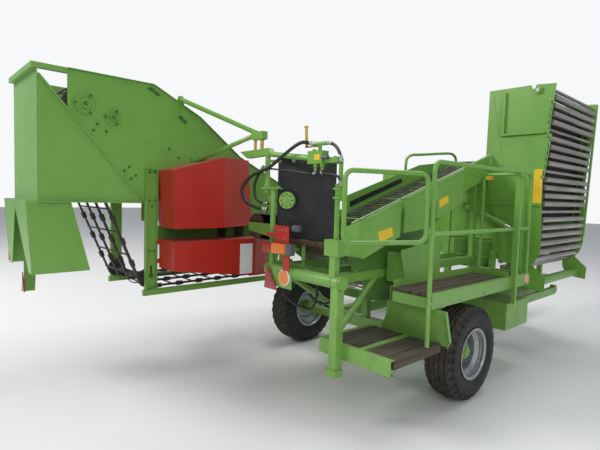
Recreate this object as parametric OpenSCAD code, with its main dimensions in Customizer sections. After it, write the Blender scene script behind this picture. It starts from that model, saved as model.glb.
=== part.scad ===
// Single-row trailed potato harvester: digging channel on the left, cross web at the rear,
// sorting table with an operator platform on the right, slatted bunker with a folding arm in front.
// Working axes: X to the right, Y forward, Z up, from the ground under the middle of the axle.

/* [Wheels] */
// Distance between the middles of the two tyres
track_w = 1930; // [1920:10:2000]
// Outer diameter of a tyre
tyre_d = 780; // [760:5:790]
// Width of a tyre
tyre_w = 264; // [240:2:266]
// Diameter of the rim at the bead seats
rim_d = 388; // [380:1:396]
// Width of the rim over its flanges
rim_w = 244; // [210:2:244]
// Diameter of the stub axle in the hub
stub_d = 55; // [45:1:60]
// Outer diameter of the hub barrel
hub_d = 112; // [90:1:130]
// Diameter of the wheel bolt circle
bolt_circle_d = 205; // [180:1:220]
// Diameter of one wheel bolt hole
bolt_hole_d = 18; // [14:1:22]

/* [Chassis] */
// Width and height of the low rails
rail_w = 80; // [60:5:90]
// Height of the low rails
rail_h = 100; // [80:5:110]
// Height of the underside of the low rails
rail_z = 440; // [435:5:460]
// Middle of the right low rail
rail_right_x = 585; // [575:5:600]
// Middle of the left low rail
rail_left_x = -240; // [-300:10:-200]
// Front end of the low rails
rail_front_y = 2760; // [2720:10:2900]
// Diameter of the axle tube
axle_d = 90; // [70:2:100]
// Diameter of the rear cross tube
cross_d = 95; // [80:1:100]
// Height of the middle of the rear cross tube
cross_z = 1020; // [1000:5:1030]
// Middle of the rear cross tube behind the axle
cross_y = -1130; // [-1140:2:-1125]
// Height of the underside of the upper rails
upper_z = 975; // [965:5:985]

/* [Digging channel] */
// Outer face of the channel's right side plate, left of the middle
plate_x = 1150; // [1145:5:1200]
// Width of the channel over its side plates
channel_w = 800; // [760:10:860]
// Thickness of the channel's sheets
sheet_t = 5; // [3:1:6]
// Height of the top edge of the rear hood
hood_z = 2590; // [2560:10:2650]
// Rear face of the hood
hood_y = -2660; // [-2700:10:-2640]
// Height of the lower edge of the hood
hood_low_z = 1555; // [1540:5:1580]
// Radius of the web rods
rod_r = 6; // [5:0.5:8]
// Spacing of the rods of the two sieving webs
rod_pitch = 56; // [45:1:70]
// Spacing of the rods of the haulm web
haulm_pitch = 215; // [150:5:260]
// Thickness of the web belts
belt_t = 8; // [6:1:10]
// Width of one web belt
belt_w = 50; // [40:2:70]

/* [Table and platform] */
// Inner face of the right side board of the sorting table
table_right_x = 500; // [490:5:505]
// Inner face of the left side board of the sorting table
table_left_x = 125; // [115:5:140]
// Rise of the sorting table over its run
table_rise = 0.315; // [0.3:0.005:0.32]
// Height of the upper platform's boards
platform_z = 950; // [945:1:952]
// Outer face of the platform
platform_x = 1050; // [1040:5:1060]
// Height of the guard rails above the ground
guard_z = 1915; // [1850:5:1960]
// Diameter of the guard rail tubes
guard_d = 34; // [27:1:38]
// Width of the gate
gate_w = 680; // [600:10:690]
// Angle by which the gate stands open
gate_rest = 22; // [15:1:30]

/* [Bunker] */
// Rear face of the bunker's walls
bunker_y = 1362; // [1360:2:1370]
// Length of the bunker along the machine
bunker_l = 1326; // [1200:2:1340]
// Spacing of the bunker slats
slat_pitch = 81; // [80:1:110]
// Diameter of the slat tubes
slat_d = 58; // [40:2:64]
// Height of the top edge of the unloading arm
arm_z = 2830; // [2820:5:2860]
// Gap between the arm's side plates and the bunker's walls
arm_gap = 8; // [6:1:12]

/* [Hitch] */
// Distance of the drawbar eye in front of the axle
eye_y = 4250; // [4100:10:4400]
// Bore of the drawbar eye
eye_d = 50; // [40:1:55]
// Sideways place of the drawbar pivot
draw_x = 150; // [100:10:250]
// Diameter of the drawbar's pivot pin
draw_pin_d = 40; // [30:1:45]
// Diameter of the drive input shaft
drive_d = 35; // [30:1:45]
// Free length of the drive input shaft
drive_l = 80; // [70:5:120]

/* [Hidden] */
$fn = 32;

green = [0.43, 0.69, 0.24];
red = [0.70, 0.16, 0.13];
steel = [0.62, 0.63, 0.62];
rust = [0.40, 0.27, 0.18];
black = [0.10, 0.10, 0.10];

// Running gap between turning pieces
fit = 0.05;
// Gap between pieces that only lie on each other
seat = 0.3;

axle_z = tyre_d / 2;
bunker_y1 = bunker_y + bunker_l;
// Least length of the low rails in front of the bunker
rail_past = 30;
rail_tip_y = max(rail_front_y, bunker_y1 + rail_past);
tyre_x = track_w / 2;
rail_top = rail_z + rail_h;
upper_h = 70;
upper_top = upper_z + upper_h;
channel_left_x = plate_x + channel_w;
post_t = 40;
mudguard_x = 1150;
apron_y = hood_y - 85;
eye_r = 55;
mid_x = (mudguard_x - channel_left_x - post_t) / 2;
mid_y = (eye_y + eye_r + apron_y) / 2;

// Puts the working axes over the middle of the machine's outline
module place() {
    translate([-mid_x, -mid_y, 0]) children();
}

// A box from its lowest corner to its highest corner
module block(low, high) {
    translate(low) cube(high - low);
}

// A round bar from point a to point b
module rod_between(a, b, d) {
    v = b - a;
    flat = norm([v.x, v.y]);
    translate(a)
        rotate([0, atan2(flat, v.z), flat == 0 ? 0 : atan2(v.y, v.x)])
        cylinder(h = norm(v), d = d);
}

// A round bar along X
module bar_x(x0, x1, y, z, d) {
    translate([x0, y, z]) rotate([0, 90, 0]) cylinder(h = x1 - x0, d = d);
}

// A round bar along Y
module bar_y(y0, y1, x, z, d) {
    translate([x, y0, z]) rotate([-90, 0, 0]) cylinder(h = y1 - y0, d = d);
}

// A round bar along Z
module bar_z(z0, z1, x, y, d) {
    translate([x, y, z0]) cylinder(h = z1 - z0, d = d);
}

// An outline given as [y, z] points, drawn from x0 to x1
module side_sheet(x0, x1) {
    translate([x0, 0, 0]) rotate([90, 0, 90]) linear_extrude(height = x1 - x0) children();
}

// An outline given as [x, z] points, drawn from y0 to y1
module rear_sheet(y0, y1) {
    translate([0, y1, 0]) rotate([90, 0, 0]) linear_extrude(height = y1 - y0) children();
}

// A quarter bend of a tube in the XZ plane about its middle, from the angle start
module elbow(r, d, start) {
    rotate([90, 0, 0]) rotate(start) rotate_extrude(angle = 90, $fn = 48) translate([r, 0]) circle(d = d,
        $fn = 32);
}

// An arch of tube in the XZ plane: legs at x = 0 and x = w up from z0 and z2, top at z1
module arch(w, z0, z1, r, d, z2) {
    cylinder(h = z1 - r - z0, d = d);
    translate([w, 0, z2 - z0]) cylinder(h = z1 - r - z2, d = d);
    translate([r, 0, z1 - z0]) rotate([0, 90, 0]) cylinder(h = w - 2 * r, d = d);
    translate([r, 0, z1 - r - z0]) elbow(r, d, 90);
    translate([w - r, 0, z1 - r - z0]) elbow(r, d, 0);
}

// A closed frame of tube in the XZ plane from x = 0 to x = w
module tube_frame(w, z0, z1, r, d) {
    for (x = [0, w]) bar_z(z0 + r, z1 - r, x, 0, d);
    for (z = [z0, z1]) bar_x(r, w - r, 0, z, d);
    translate([r, 0, z0 + r]) elbow(r, d, 180);
    translate([w - r, 0, z0 + r]) elbow(r, d, 270);
    translate([r, 0, z1 - r]) elbow(r, d, 90);
    translate([w - r, 0, z1 - r]) elbow(r, d, 0);
}

// A strip of the thickness t along a line of points, on its right-hand side
module strip(points, t) {
    n = len(points);
    side = [for (i = [0 : n - 2]) let (d = points[i + 1] - points[i]) [d.y, -d.x] / norm(d)];
    inner = [for (i = [0 : n - 1])
        let (m = side[max(i - 1, 0)] + side[min(i, n - 2)]) points[i] + m * 2 * t / (m * m)];
    polygon(concat(points, [for (i = [n - 1 : -1 : 0]) inner[i]]));
}

// Step between the edge of a web and the ends of its rods and drums
end_in = 4;

// Web loops: each roller is [a, b, radius] in the plane of the loop, listed against the clock
function leave_angle(p, q, grow) = let (d = [q[0] - p[0], q[1] - p[1]], l = norm(d))
    atan2(d.y, d.x) - 90 + asin((p[2] - q[2]) / l);
function turn(a, b) = let (d = b - a) d - 360 * floor(d / 360);
function straight(p, q) = let (l = norm([q[0] - p[0],
    q[1] - p[1]])) sqrt(l * l - (p[2] - q[2]) * (p[2] - q[2]));
function edge_angles(loop) = [for (i = [0 : len(loop) - 1]) leave_angle(loop[i],
    loop[(i + 1) % len(loop)])];
function run_lengths(loop) = [for (i = [0 : len(loop) - 1]) straight(loop[i], loop[(i + 1) % len(loop)])];
function wrap_angles(loop) = let (e = edge_angles(loop), n = len(loop))
    [for (i = [0 : n - 1]) turn(e[i], e[(i + 1) % n])];
function sum(list, n) = n <= 0 ? 0 : list[n - 1] + sum(list, n - 1);
function piece_lengths(loop, out) = let (r = run_lengths(loop), w = wrap_angles(loop), n = len(loop))
    [for (i = [0 : n - 1]) r[i] + w[i] * PI / 180 * (loop[(i + 1) % n][2] + out)];
function loop_length(loop, out) = sum(piece_lengths(loop, out), len(loop));

// Point and outward angle at the distance s along the loop, on a line that lies out from the rollers
function loop_at(loop, out, s, i = 0) = let (pieces = piece_lengths(loop, out))
    s > pieces[i] && i < len(loop) - 1 ? loop_at(loop, out, s - pieces[i], i + 1)
    : let (
        n = len(loop),
        p = loop[i],
        q = loop[(i + 1) % n],
        angle = edge_angles(loop)[i],
        run = run_lengths(loop)[i],
        normal = [cos(angle), sin(angle)],
        along = [-sin(angle), cos(angle)],
        over = (s - run) / (q[2] + out) * 180 / PI,
        round_angle = angle + over)
    s <= run ? [[p[0], p[1]] + (p[2] + out) * normal + s * along, angle]
    : [[q[0], q[1]] + (q[2] + out) * [cos(round_angle), sin(round_angle)], round_angle];

// The filled outline of a loop that lies out from the rollers, its turns in steps of about ten degrees
module loop_fill(loop, out) {
    e = edge_angles(loop);
    w = wrap_angles(loop);
    n = len(loop);
    polygon([for (i = [0 : n - 1])
        let (q = loop[(i + 1) % n], steps = max(1, ceil(w[i] / 10)))
        for (k = [0 : steps])
            let (a = e[i] + k * w[i] / steps) [q[0], q[1]] + (q[2] + out) * [cos(a), sin(a)]]);
}

// One belt of a loop, wide in the direction across it
module loop_belt(loop, width) {
    linear_extrude(height = width) difference() {
        loop_fill(loop, belt_t);
        loop_fill(loop, 0);
    }
}

// Rods on the outside of a loop's belts
module loop_rods(loop, pitch, width, r) {
    out = belt_t;
    total = loop_length(loop, out);
    count = floor(total / pitch);
    for (k = [0 : count - 1]) {
        at = loop_at(loop, out, (k + 0.5) * total / count);
        translate([at[0].x, at[0].y, end_in]) rotate(at[1]) cylinder(h = width - 2 * end_in, r = r,
            $fn = 6);
    }
}

// A whole web: belts at both edges and in the middle, rods across
module web(loop, width, pitch, r, belts = 3) {
    for (k = [0 : belts - 1]) translate([0, 0, k * (width - belt_w) / (belts - 1)]) loop_belt(loop, belt_w);
    drums(loop, width, belt_w + 4);
    loop_rods(loop, pitch, width, r);
}

// Drums at both edges of a loop, let into its belts
module drums(loop, width, drum_w) {
    for (p = loop, z = [end_in, width - drum_w]) translate([p[0], p[1], z])
        cylinder(h = drum_w - end_in, r = p[2] + belt_t / 2);
}

// Turns a loop drawn as [y, z] so that its width runs along X from x0
module across_x(x0) {
    translate([x0, 0, 0]) rotate([90, 0, 90]) children();
}

// Turns a loop drawn as [x, z] so that its width runs along Y, ending at y1
module across_y(y1) {
    translate([0, y1, 0]) rotate([90, 0, 0]) children();
}

// Wheels

hub_in = tyre_x - tyre_w / 2 - 20;
hub_out = tyre_x + 10;
disc_x = tyre_x - 10;
disc_t = 8;
flange_h = 18;
dish = 26;
rim_t = 6;
rim_gap = seat;

// The rim's section in [radius, place along the axle]
module rim_section() {
    half = rim_w / 2;
    seat_r = rim_d / 2;
    well_r = seat_r - 32;
    top_r = seat_r + flange_h;
    polygon([
        [seat_r - rim_t, -half + 8], [seat_r - 2, -half + 8], [seat_r + 4, -half], [top_r, -half],
        [top_r, -half + rim_t], [seat_r, -half + rim_t + 8], [seat_r, -half + 50], [well_r, -half + 75],
        [well_r, half - 75], [seat_r, half - 50], [seat_r, half - rim_t - 8], [top_r, half - rim_t],
        [top_r, half], [seat_r + 4, half], [seat_r - 2, half - 8], [seat_r - rim_t, half - 8],
        [seat_r - rim_t, half - 50], [well_r - rim_t, half - 78], [well_r - rim_t, -half + 78],
        [seat_r - rim_t, -half + 50]]);
}

// The dished disc between rim and hub
module rim_disc() {
    well_in = rim_d / 2 - 32 - rim_t;
    rotate_extrude($fn = 64) polygon([
        [hub_d / 2 - 5, 0], [bolt_circle_d / 2 + 22, 0], [well_in - 18, -dish], [well_in + 2, -dish],
        [well_in + 2, -dish - disc_t], [well_in - 22, -dish - disc_t], [bolt_circle_d / 2 + 18, -disc_t],
        [hub_d / 2 - 5, -disc_t]]);
}

module wheel(side) {
    color(steel) place() translate([side * tyre_x, 0, axle_z]) rotate([0, side * 90, 0]) difference() {
        union() {
            rotate_extrude($fn = 64) rim_section();
            translate([0, 0, disc_x - tyre_x]) rim_disc();
            translate([0, 0, hub_in - tyre_x]) cylinder(h = hub_out - hub_in, d = hub_d);
            translate([0, 0, disc_x - tyre_x - disc_t - 12]) cylinder(h = 12, d = bolt_circle_d + 34);
            translate([0, 0, hub_out - tyre_x]) cylinder(h = 26, d1 = 84, d2 = 70, $fn = 32);
            for (a = [0 : 60 : 300]) rotate(a + 30) translate([bolt_circle_d / 2, 0, disc_x - tyre_x])
                cylinder(h = 16, d = 27, $fn = 6);
        }
        translate([0, 0, hub_in - tyre_x - 1]) cylinder(h = hub_out - hub_in - 29, d = stub_d + 2 * fit);
        for (a = [0 : 60 : 300]) rotate(a) translate([bolt_circle_d / 2 + 30, 0, disc_x - tyre_x - 60])
            cylinder(h = 80, d = bolt_hole_d);
    }
}

module wheel_left() {
    wheel(-1);
}

module wheel_right() {
    wheel(1);
}

// The tyre's section in [radius, place along the axle]
module tyre_section() {
    half = tyre_w / 2;
    top = tyre_d / 2;
    bead = rim_d / 2 + rim_gap;
    in = rim_w / 2 - rim_t - 9;
    difference() {
        polygon([
            [bead, -in], [bead + 20, -in - 3], [bead + 50, -half + 6], [bead + 95, -half], [top - 62,
                -half + 2],
            [top - 34, -half + 14], [top - 12, -half + 30], [top - 3, -half + 52], [top, -30], [top, 30],
            [top - 3, half - 52], [top - 12, half - 30], [top - 34, half - 14], [top - 62, half - 2],
            [bead + 95, half], [bead + 50, half - 6], [bead + 20, in + 3], [bead, in], [bead, in - 22],
            [bead + 40, half - 28], [top - 60, half - 24], [top - 32, half - 50], [top - 26, 0],
            [top - 32, -half + 50], [top - 60, -half + 24], [bead + 40, -half + 28], [bead, -in + 22]]);
        for (z = [-66, -26, 26, 66]) translate([top - 12, z - 4.5]) square([20, 9]);
    }
}

module tyre(side) {
    color(black) place() translate([side * tyre_x, 0, axle_z]) rotate([0, side * 90, 0])
        rotate_extrude($fn = 96) tyre_section();
}

module tyre_left() {
    tyre(-1);
}

module tyre_right() {
    tyre(1);
}

// Chassis

upper_left_x = 150;
upper_right_x = 430;
upper_front_y = 1250;
post_ys = [-250, 1180];
beam_y = 650;
step_rear_y = -1094;
upright_x = -171;
upper_post_x = -259;
right_upright_x = 556;
right_pipe_x = 580;
rear_post_w = 70;
lamp_y = cross_y - 50;
drive_z = 690;
top_tube_left = [upper_post_x, cross_y, 1985];
top_tube_right = [right_pipe_x, cross_y, 1895];

// A low rail between two ends
module low_rail(x, y0, y1) {
    block([x - rail_w / 2, y0, rail_z], [x + rail_w / 2, y1, rail_top]);
}

module main_frame() {
    color(green) place() difference() {
        union() {
            low_rail(rail_right_x, step_rear_y + 44, rail_tip_y);
            low_rail(rail_left_x, -300, rail_tip_y);
            for (y = [rail_tip_y - 40, post_ys[0], post_ys[1]])
                block([rail_left_x - rail_w / 2, y - 40, rail_z], [rail_right_x + rail_w / 2, y + 40,
                    rail_top]);
            block([-channel_left_x - post_t, beam_y - 40, rail_z], [rail_right_x + rail_w / 2,
                beam_y + 40, rail_top]);
            for (x = [rail_left_x, rail_right_x])
                block([x - rail_w / 2, -60, axle_z], [x + rail_w / 2, 60, rail_z]);
            for (x = [rail_left_x, upper_left_x, upper_right_x]) {
                front = x == rail_left_x ? post_ys[0] + 35 : upper_front_y;
                block([x - 35, cross_y, upper_z], [x + 35, front, upper_top]);
                for (y = post_ys) if (y < front) block([x - 30, y - 30, rail_top], [x + 30, y + 30,
                    upper_z]);
            }
            bar_x(upright_x - 40, rail_right_x + 50, cross_y, cross_z, cross_d);
            bar_x(rail_right_x + 50, rail_right_x + 56, cross_y, cross_z, cross_d + 8);
            block([rail_right_x - rear_post_w / 2, step_rear_y - rear_post_w, 385],
                [rail_right_x + rear_post_w / 2, step_rear_y, cross_z]);
            block([rail_right_x - 48, step_rear_y - 82, 335], [rail_right_x + 48, step_rear_y, 385]);
            bar_z(cross_z, 1690, upright_x, cross_y, 46);
            block([upper_post_x - 45, cross_y - 35, 1690], [upright_x + 90, cross_y + 18, 1702]);
            bar_z(1702, 1722, upper_post_x, cross_y, 60);
            bar_z(1722, 1985, upper_post_x, cross_y, 44);
            bar_z(1660, 1690, upper_post_x, cross_y, 40);
            bar_z(1702, 1716, upright_x + 62, cross_y, 34);
            rear_sheet(cross_y - 24, cross_y + 24) polygon([[-635, 2017], [-227, 2032], [-182, 1980],
                [-235, 1973],
                [-528, 1956]]);
            block([right_upright_x - 38, cross_y - 25, cross_z], [right_upright_x + 18, cross_y + 25,
                1212]);
            block([right_upright_x - 82, cross_y - 38, 1212], [right_upright_x + 53, cross_y + 38, 1329]);
            bar_z(1329, 1735, right_upright_x, cross_y, 38);
            bar_z(1610, 1915, right_pipe_x, cross_y, 32);
            for (z = [1625, 1690]) block([right_upright_x - 24, cross_y - 24, z], [right_pipe_x + 20,
                cross_y + 24, z + 16]);
            rear_sheet(cross_y - 30, cross_y - 15) polygon([[436, 1898], [545, 1932], [576, 1920], [576,
                1890],
                [509, 1882]]);
            block([-107, lamp_y, 896], [137, cross_y - 44, 1063]);
            rod_between(top_tube_left, top_tube_right, 45);
            rod_between(curtain_far, [right_pipe_x, cross_y, curtain_z1 - 80], 20);
            rod_between([-20, cross_y, cross_z], [rail_left_x + 60, -270, rail_top], 50);
            rod_between([rail_right_x, step_rear_y - 40, 640], [upper_right_x, -480, upper_z + 20], 50);
            for (z = [390, 590]) block([draw_x - 70, rail_tip_y, z - 12], [draw_x + 70, rail_tip_y + 130,
                z + 12]);
            bar_z(366, 602, draw_x, rail_tip_y + 80, draw_pin_d);
            block([draw_x - 90, rail_tip_y - 30, 378], [draw_x + 90, rail_tip_y, 602]);
            block([draw_x - 80, rail_tip_y - 40, 602], [draw_x + 80, rail_tip_y + 90, drive_z + 80]);
            bar_y(rail_tip_y + 90, rail_tip_y + 110, draw_x, drive_z, 110);
            bar_y(rail_tip_y + 110, rail_tip_y + 110 + drive_l, draw_x, drive_z, drive_d);
        }
        bar_x(-tyre_x, tyre_x, 0, axle_z, axle_d);
    }
}

module axle() {
    reach = hub_in - 12;
    color(green) place() {
        bar_x(-reach, reach, 0, axle_z, axle_d);
        for (side = [-1, 1]) {
            translate([side * reach, 0, axle_z]) rotate([0, side * 90, 0]) cylinder(h = 10, d = hub_d + 20);
            translate([side * reach, 0, axle_z]) rotate([0, side * 90, 0])
                cylinder(h = hub_out - 40 - reach, d = stub_d);
        }
    }
}

// Drawbar, pivoted in the chassis fork

draw_z = 490;
draw_pivot_y = rail_tip_y + 80;
draw_h = 166;

module drawbar() {
    color(green) place() difference() {
        union() {
            bar_z(draw_z - draw_h / 2, draw_z + draw_h / 2, draw_x, draw_pivot_y, 96);
            block([draw_x - 50, draw_pivot_y, draw_z - 60], [draw_x + 50, eye_y - 330, draw_z + 60]);
            block([draw_x - 36, eye_y - 330, draw_z - 45], [draw_x + 36, eye_y - 120, draw_z + 45]);
            block([draw_x - 28, eye_y - 120, draw_z - 15], [draw_x + 28, eye_y, draw_z + 15]);
            bar_z(draw_z - 15, draw_z + 15, draw_x, eye_y, 2 * eye_r);
        }
        bar_z(300, 700, draw_x, draw_pivot_y, draw_pin_d + 2 * fit);
        bar_z(300, 700, draw_x, eye_y, eye_d);
    }
}

jack_y = rail_tip_y + 45;

module jack() {
    color(steel) place() {
        difference() {
            union() {
                block([rail_left_x - 35, jack_y - 35, 330], [rail_left_x + 35, jack_y + 35, 900]);
                block([rail_left_x - 45, rail_tip_y, rail_z], [rail_left_x + 45, jack_y, rail_top]);
            }
            block([rail_left_x - 30, jack_y - 30, 329], [rail_left_x + 30, jack_y + 30, 890]);
        }
        block([rail_left_x - 29, jack_y - 29, 14], [rail_left_x + 29, jack_y + 29, 880]);
        translate([rail_left_x, jack_y, 0]) cylinder(h = 14, d = 240);
        bar_x(rail_left_x - 50, rail_left_x + 50, jack_y, 380, 16);
        bar_z(900, 930, rail_left_x, jack_y, 26);
        bar_y(jack_y - 10, jack_y + 150, rail_left_x, 920, 16);
        bar_z(905, 1000, rail_left_x, jack_y + 142, 16);
    }
}

// Digging channel

top_z = hood_z;
knee_y = -1740;
front_y = 330;
bear_haulm = [-2320, 2330];
bear_second = [-2100, 2250];
haulm_loop = [[-60, 1090, 130], [bear_haulm.x, bear_haulm.y, 150], [-1770, 850, 80], [-330, 860, 80]];
second_loop = [[-216, 1120, 60], [bear_second.x, bear_second.y, 60]];
hood_top_z = top_z - 80;
hood_foot_y = -1830;
gap_y = -2450;
lip_w = 20;
// Height of the channel's top edge in front of its knee
function channel_edge(y) = 2365 + (top_z - 2365) * (y + 1270) / (knee_y + 1270);
// Height of the hood's slanted edge at a place along the machine
function hood_edge(y) = hood_low_z + (hood_top_z - hood_low_z) * (y - hood_foot_y) / (hood_y - hood_foot_y);
channel_top = [[gap_y, top_z], [knee_y, top_z], [-1270, 2365], [-800, 2020], [front_y, 1500]];
channel_outline = concat([[front_y, 1150], [front_y - 150, 1150], [90, 1000], [-60, 960], [-240, 970],
    [-270, 800],
    [-390, 800], [-420, 1140], [-520, 1320], [-1500, 1320], [-1500, hood_low_z], [hood_y, hood_low_z],
    [hood_y, hood_top_z], [gap_y, hood_edge(gap_y)]], channel_top);

// Side plate of the channel with the intake's pivot pin on its inner face
module channel_plate(x_out, dir) {
    x0 = min(x_out, x_out - dir * sheet_t);
    pin_end = x_out - dir * (sheet_t + intake_gap + intake_t - 2);
    place() {
        side_sheet(x0, x0 + sheet_t) polygon(channel_outline);
        side_sheet(min(x0, x_out + dir * lip_w), max(x0 + sheet_t, x_out + dir * lip_w))
            strip(channel_top, sheet_t);
        bar_x(min(x_out, pin_end), max(x_out, pin_end), lift_axis.x, lift_axis.y, lift_pin_d);
    }
}

// Bearing disc with its ring, three lugs and hub, on the outer face of a plate
module bearing(x_out, dir, at, r) {
    place() translate([x_out, at.x, at.y]) rotate([0, dir * 90, 0]) {
        cylinder(h = 8, r = r);
        for (a = [30, 150, 270]) rotate(a) translate([r - 6, 0, 0]) cylinder(h = 20, r = 14);
        cylinder(h = 30, r = r * 0.45);
    }
}

module channel_right() {
    color(green) {
        channel_plate(-plate_x, 1);
        bearing(-plate_x, 1, bear_haulm, 85);
        bearing(-plate_x, 1, bear_second, 65);
        place() {
            side_sheet(-plate_x, -plate_x + 3) polygon([[hood_y, hood_top_z], [hood_y, hood_low_z],
                [hood_foot_y, hood_low_z]]);
            side_sheet(-plate_x, -plate_x + 16) strip([[hood_y, hood_top_z], [hood_foot_y, hood_low_z]], 8);
            block([-plate_x, hood_y, hood_low_z - 20], [-plate_x + 14, hood_foot_y - 10, hood_low_z + 2]);
        }
    }
}

module channel_left() {
    color(green) {
        channel_plate(-channel_left_x, -1);
        bearing(-channel_left_x, -1, bear_haulm, 85);
        bearing(-channel_left_x, -1, bear_second, 65);
    }
}

inner_right = -plate_x - sheet_t;
inner_left = -channel_left_x + sheet_t;
hood_bar = 42;

module rear_hood() {
    color(green) place() {
        block([-channel_left_x, hood_y - sheet_t, hood_low_z - 20], [-plate_x, hood_y, top_z - hood_bar]);
        block([-channel_left_x, hood_y - hood_bar, top_z - hood_bar], [-plate_x, hood_y, top_z]);
        for (side = [[-plate_x, -1], [-channel_left_x, 1]]) {
            in = side[0] + side[1] * 35;
            face = side[0] + side[1] * sheet_t;
            block([min(side[0], in), hood_y, top_z - hood_bar], [max(side[0], in), gap_y, top_z]);
            block([min(face, in), gap_y, top_z - hood_bar], [max(face, in), gap_y + 60, top_z]);
        }
        block([-channel_left_x, apron_y, apron_top], [-plate_x, hood_y, apron_top + 8]);
        block([inner_left, -1760, top_z - 40], [inner_right, -1720, top_z]);
        aprons();
    }
}

apron_top = hood_low_z - 20;
apron_low = 970;
apron_lean = 36;
apron_t = 4;

// Sheets that hang below the hood beside the falling haulm, leaning forward, and the stay of the left lamps
module aprons() {
    drop = apron_top - apron_low;
    for (side = [[-plate_x, -1], [-channel_left_x, 1]]) {
        x = side[0];
        dir = side[1];
        side_sheet(min(x, x + dir * apron_t), max(x, x + dir * apron_t)) polygon([[apron_y, apron_top],
            [apron_y + apron_lean, apron_low], [-2276, apron_low], [-2423, apron_top]]);
        translate([0, apron_y + 1, apron_top + 2]) rotate([atan2(apron_lean, drop), 0, 0]) rear_sheet(0,
            apron_t)
            polygon([[x + dir, 0], [x + dir * 430, 0], [x + dir * 100, -drop], [x + dir, -drop]]);
    }
    side_sheet(-channel_left_x, -channel_left_x + apron_t)
        polygon([[-2600, apron_low + 10], [-2600, 690], [-2510, 690], [-2500, apron_low + 10]]);
}

beam_z = 700;
post_y0 = -1815;
post_y1 = -1705;

// A channel-section post with its flanges outward, its back at x0
module channel_post(x0, dir) {
    difference() {
        block([min(x0, x0 + dir * post_t), post_y0, beam_z + 50], [max(x0, x0 + dir * post_t), post_y1,
            1845]);
        block([min(x0 + dir * 6, x0 + dir * (post_t + 1)), post_y0 + 8, beam_z + 60],
            [max(x0 + dir * 6, x0 + dir * (post_t + 1)), post_y1 - 8, 1850]);
    }
}

module channel_posts() {
    color(green) place() for (side = [[-plate_x, 1], [-channel_left_x, -1]]) {
        x = side[0];
        dir = side[1];
        low = min(x, x + dir * post_t);
        high = max(x, x + dir * post_t);
        channel_post(x, dir);
        block([low, post_y0 - 15, beam_z], [high, beam_y + 40, beam_z + 50]);
        block([low, beam_y - 40, rail_top], [high, beam_y + 40, beam_z]);
    }
}

web_x0 = inner_left + 15;
web_w = inner_right - 15 - web_x0;

module second_web() {
    color(rust) place() {
        across_x(web_x0 + 35) web(second_loop, web_w - 70, rod_pitch, rod_r);
        for (p = second_loop) bar_x(inner_left, inner_right, p[0], p[1], 40);
    }
}

module haulm_web() {
    color(rust) place() {
        across_x(web_x0) {
            for (k = [0 : 3]) translate([0, 0,
                k * (web_w - 25) / 3]) linear_extrude(height = 25) difference() {
                loop_fill(haulm_loop, belt_t);
                loop_fill(haulm_loop, 0);
            }
            loop_rods(haulm_loop, haulm_pitch, web_w, 7.5);
            drums(haulm_loop, web_w, 30);
        }
        for (p = haulm_loop) bar_x(inner_left, inner_right, p[0], p[1], 40);
        bar_x(-channel_left_x, -plate_x, haulm_loop[2][0], haulm_loop[2][1], 34);
    }
}

// Intake: lifts about the rear roller of the digging web

lift_axis = [215, 1250];
lift_pin_d = 60;
intake_front = [1700, 400];
intake_loop = [[intake_front.x, intake_front.y, 50], [lift_axis.x, lift_axis.y, 55]];
intake_gap = 8;
intake_x0 = inner_left + intake_gap;
intake_x1 = inner_right - intake_gap;
intake_t = 8;
disc_at = [1960, 470];
disc_r = 300;
disc_gap = 6;
disc_hub_h = 24;
disc_pin_d = 25;
roller_at = [2420, 430];
roller_r = 200;
roller_pin_d = 36;
arm_bar_z = 820;
arm_bar_w = 52;
intake_outline = [
    [lift_axis.x - 70, lift_axis.y - 60], [lift_axis.x - 70, lift_axis.y + 130], [lift_axis.x + 60,
        lift_axis.y + 170],
    [1500, 820], [1640, 620], [1760, 560], [1760, 290], [1600, 290], [lift_axis.x + 60, lift_axis.y - 130]];

module intake_frame() {
    color(green) place() {
        for (side = [[intake_x0, -1], [intake_x1, 1]]) {
            x = side[0];
            dir = side[1];
            side_sheet(min(x, x - dir * intake_t), max(x, x - dir * intake_t)) difference() {
                polygon(intake_outline);
                translate(lift_axis) circle(d = lift_pin_d + 2 * fit);
            }
            out = x + dir * arm_bar_w;
            block([min(x, out), 900, arm_bar_z - 20], [max(x, out), roller_at.x + 40, arm_bar_z + 40]);
            block([min(out - dir * 12, out), disc_at.x - 30, disc_at.y - 30],
                [max(out - dir * 12, out), disc_at.x + 30, arm_bar_z - 20]);
            block([min(x, x + dir * 12), roller_at.x - 30, roller_at.y - 30],
                [max(x, x + dir * 12), roller_at.x + 30, arm_bar_z - 20]);
            bar_x(min(x + dir * 2, out - dir * 6), max(x + dir * 2, out - dir * 6), disc_at.x, disc_at.y,
                disc_pin_d);
            bar_x(min(x - dir * 60, x + dir * 6), max(x - dir * 60, x + dir * 6), roller_at.x, roller_at.y,
                roller_pin_d);
        }
        block([intake_x0, roller_at.x - 20, arm_bar_z - 20], [intake_x1, roller_at.x + 20, arm_bar_z + 20]);
    }
}

module digging_web() {
    color(rust) place() {
        across_x(intake_x0 + intake_t + 12) web(intake_loop, intake_x1 - intake_x0 - 2 * intake_t - 24,
            rod_pitch, rod_r);
        for (p = intake_loop) bar_x(intake_x0 + intake_t, intake_x1 - intake_t, p[0], p[1], 40);
        for (x = [intake_x0 + intake_t, intake_x1 - intake_t - 12])
            bar_x(x, x + 12, lift_axis.x, lift_axis.y, lift_pin_d + 36);
    }
}

module share() {
    w = intake_x1 - intake_x0 - 2 * intake_t;
    x0 = intake_x0 + intake_t;
    color(steel) place() for (k = [0, 1]) translate([x0 + k * w / 2, 0, 0]) side_sheet(0, w / 2)
        polygon([[1760, 290], [1800, 302], [2020, 236], [2024, 226], [1790, 282], [1760, 272]]);
}

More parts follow.
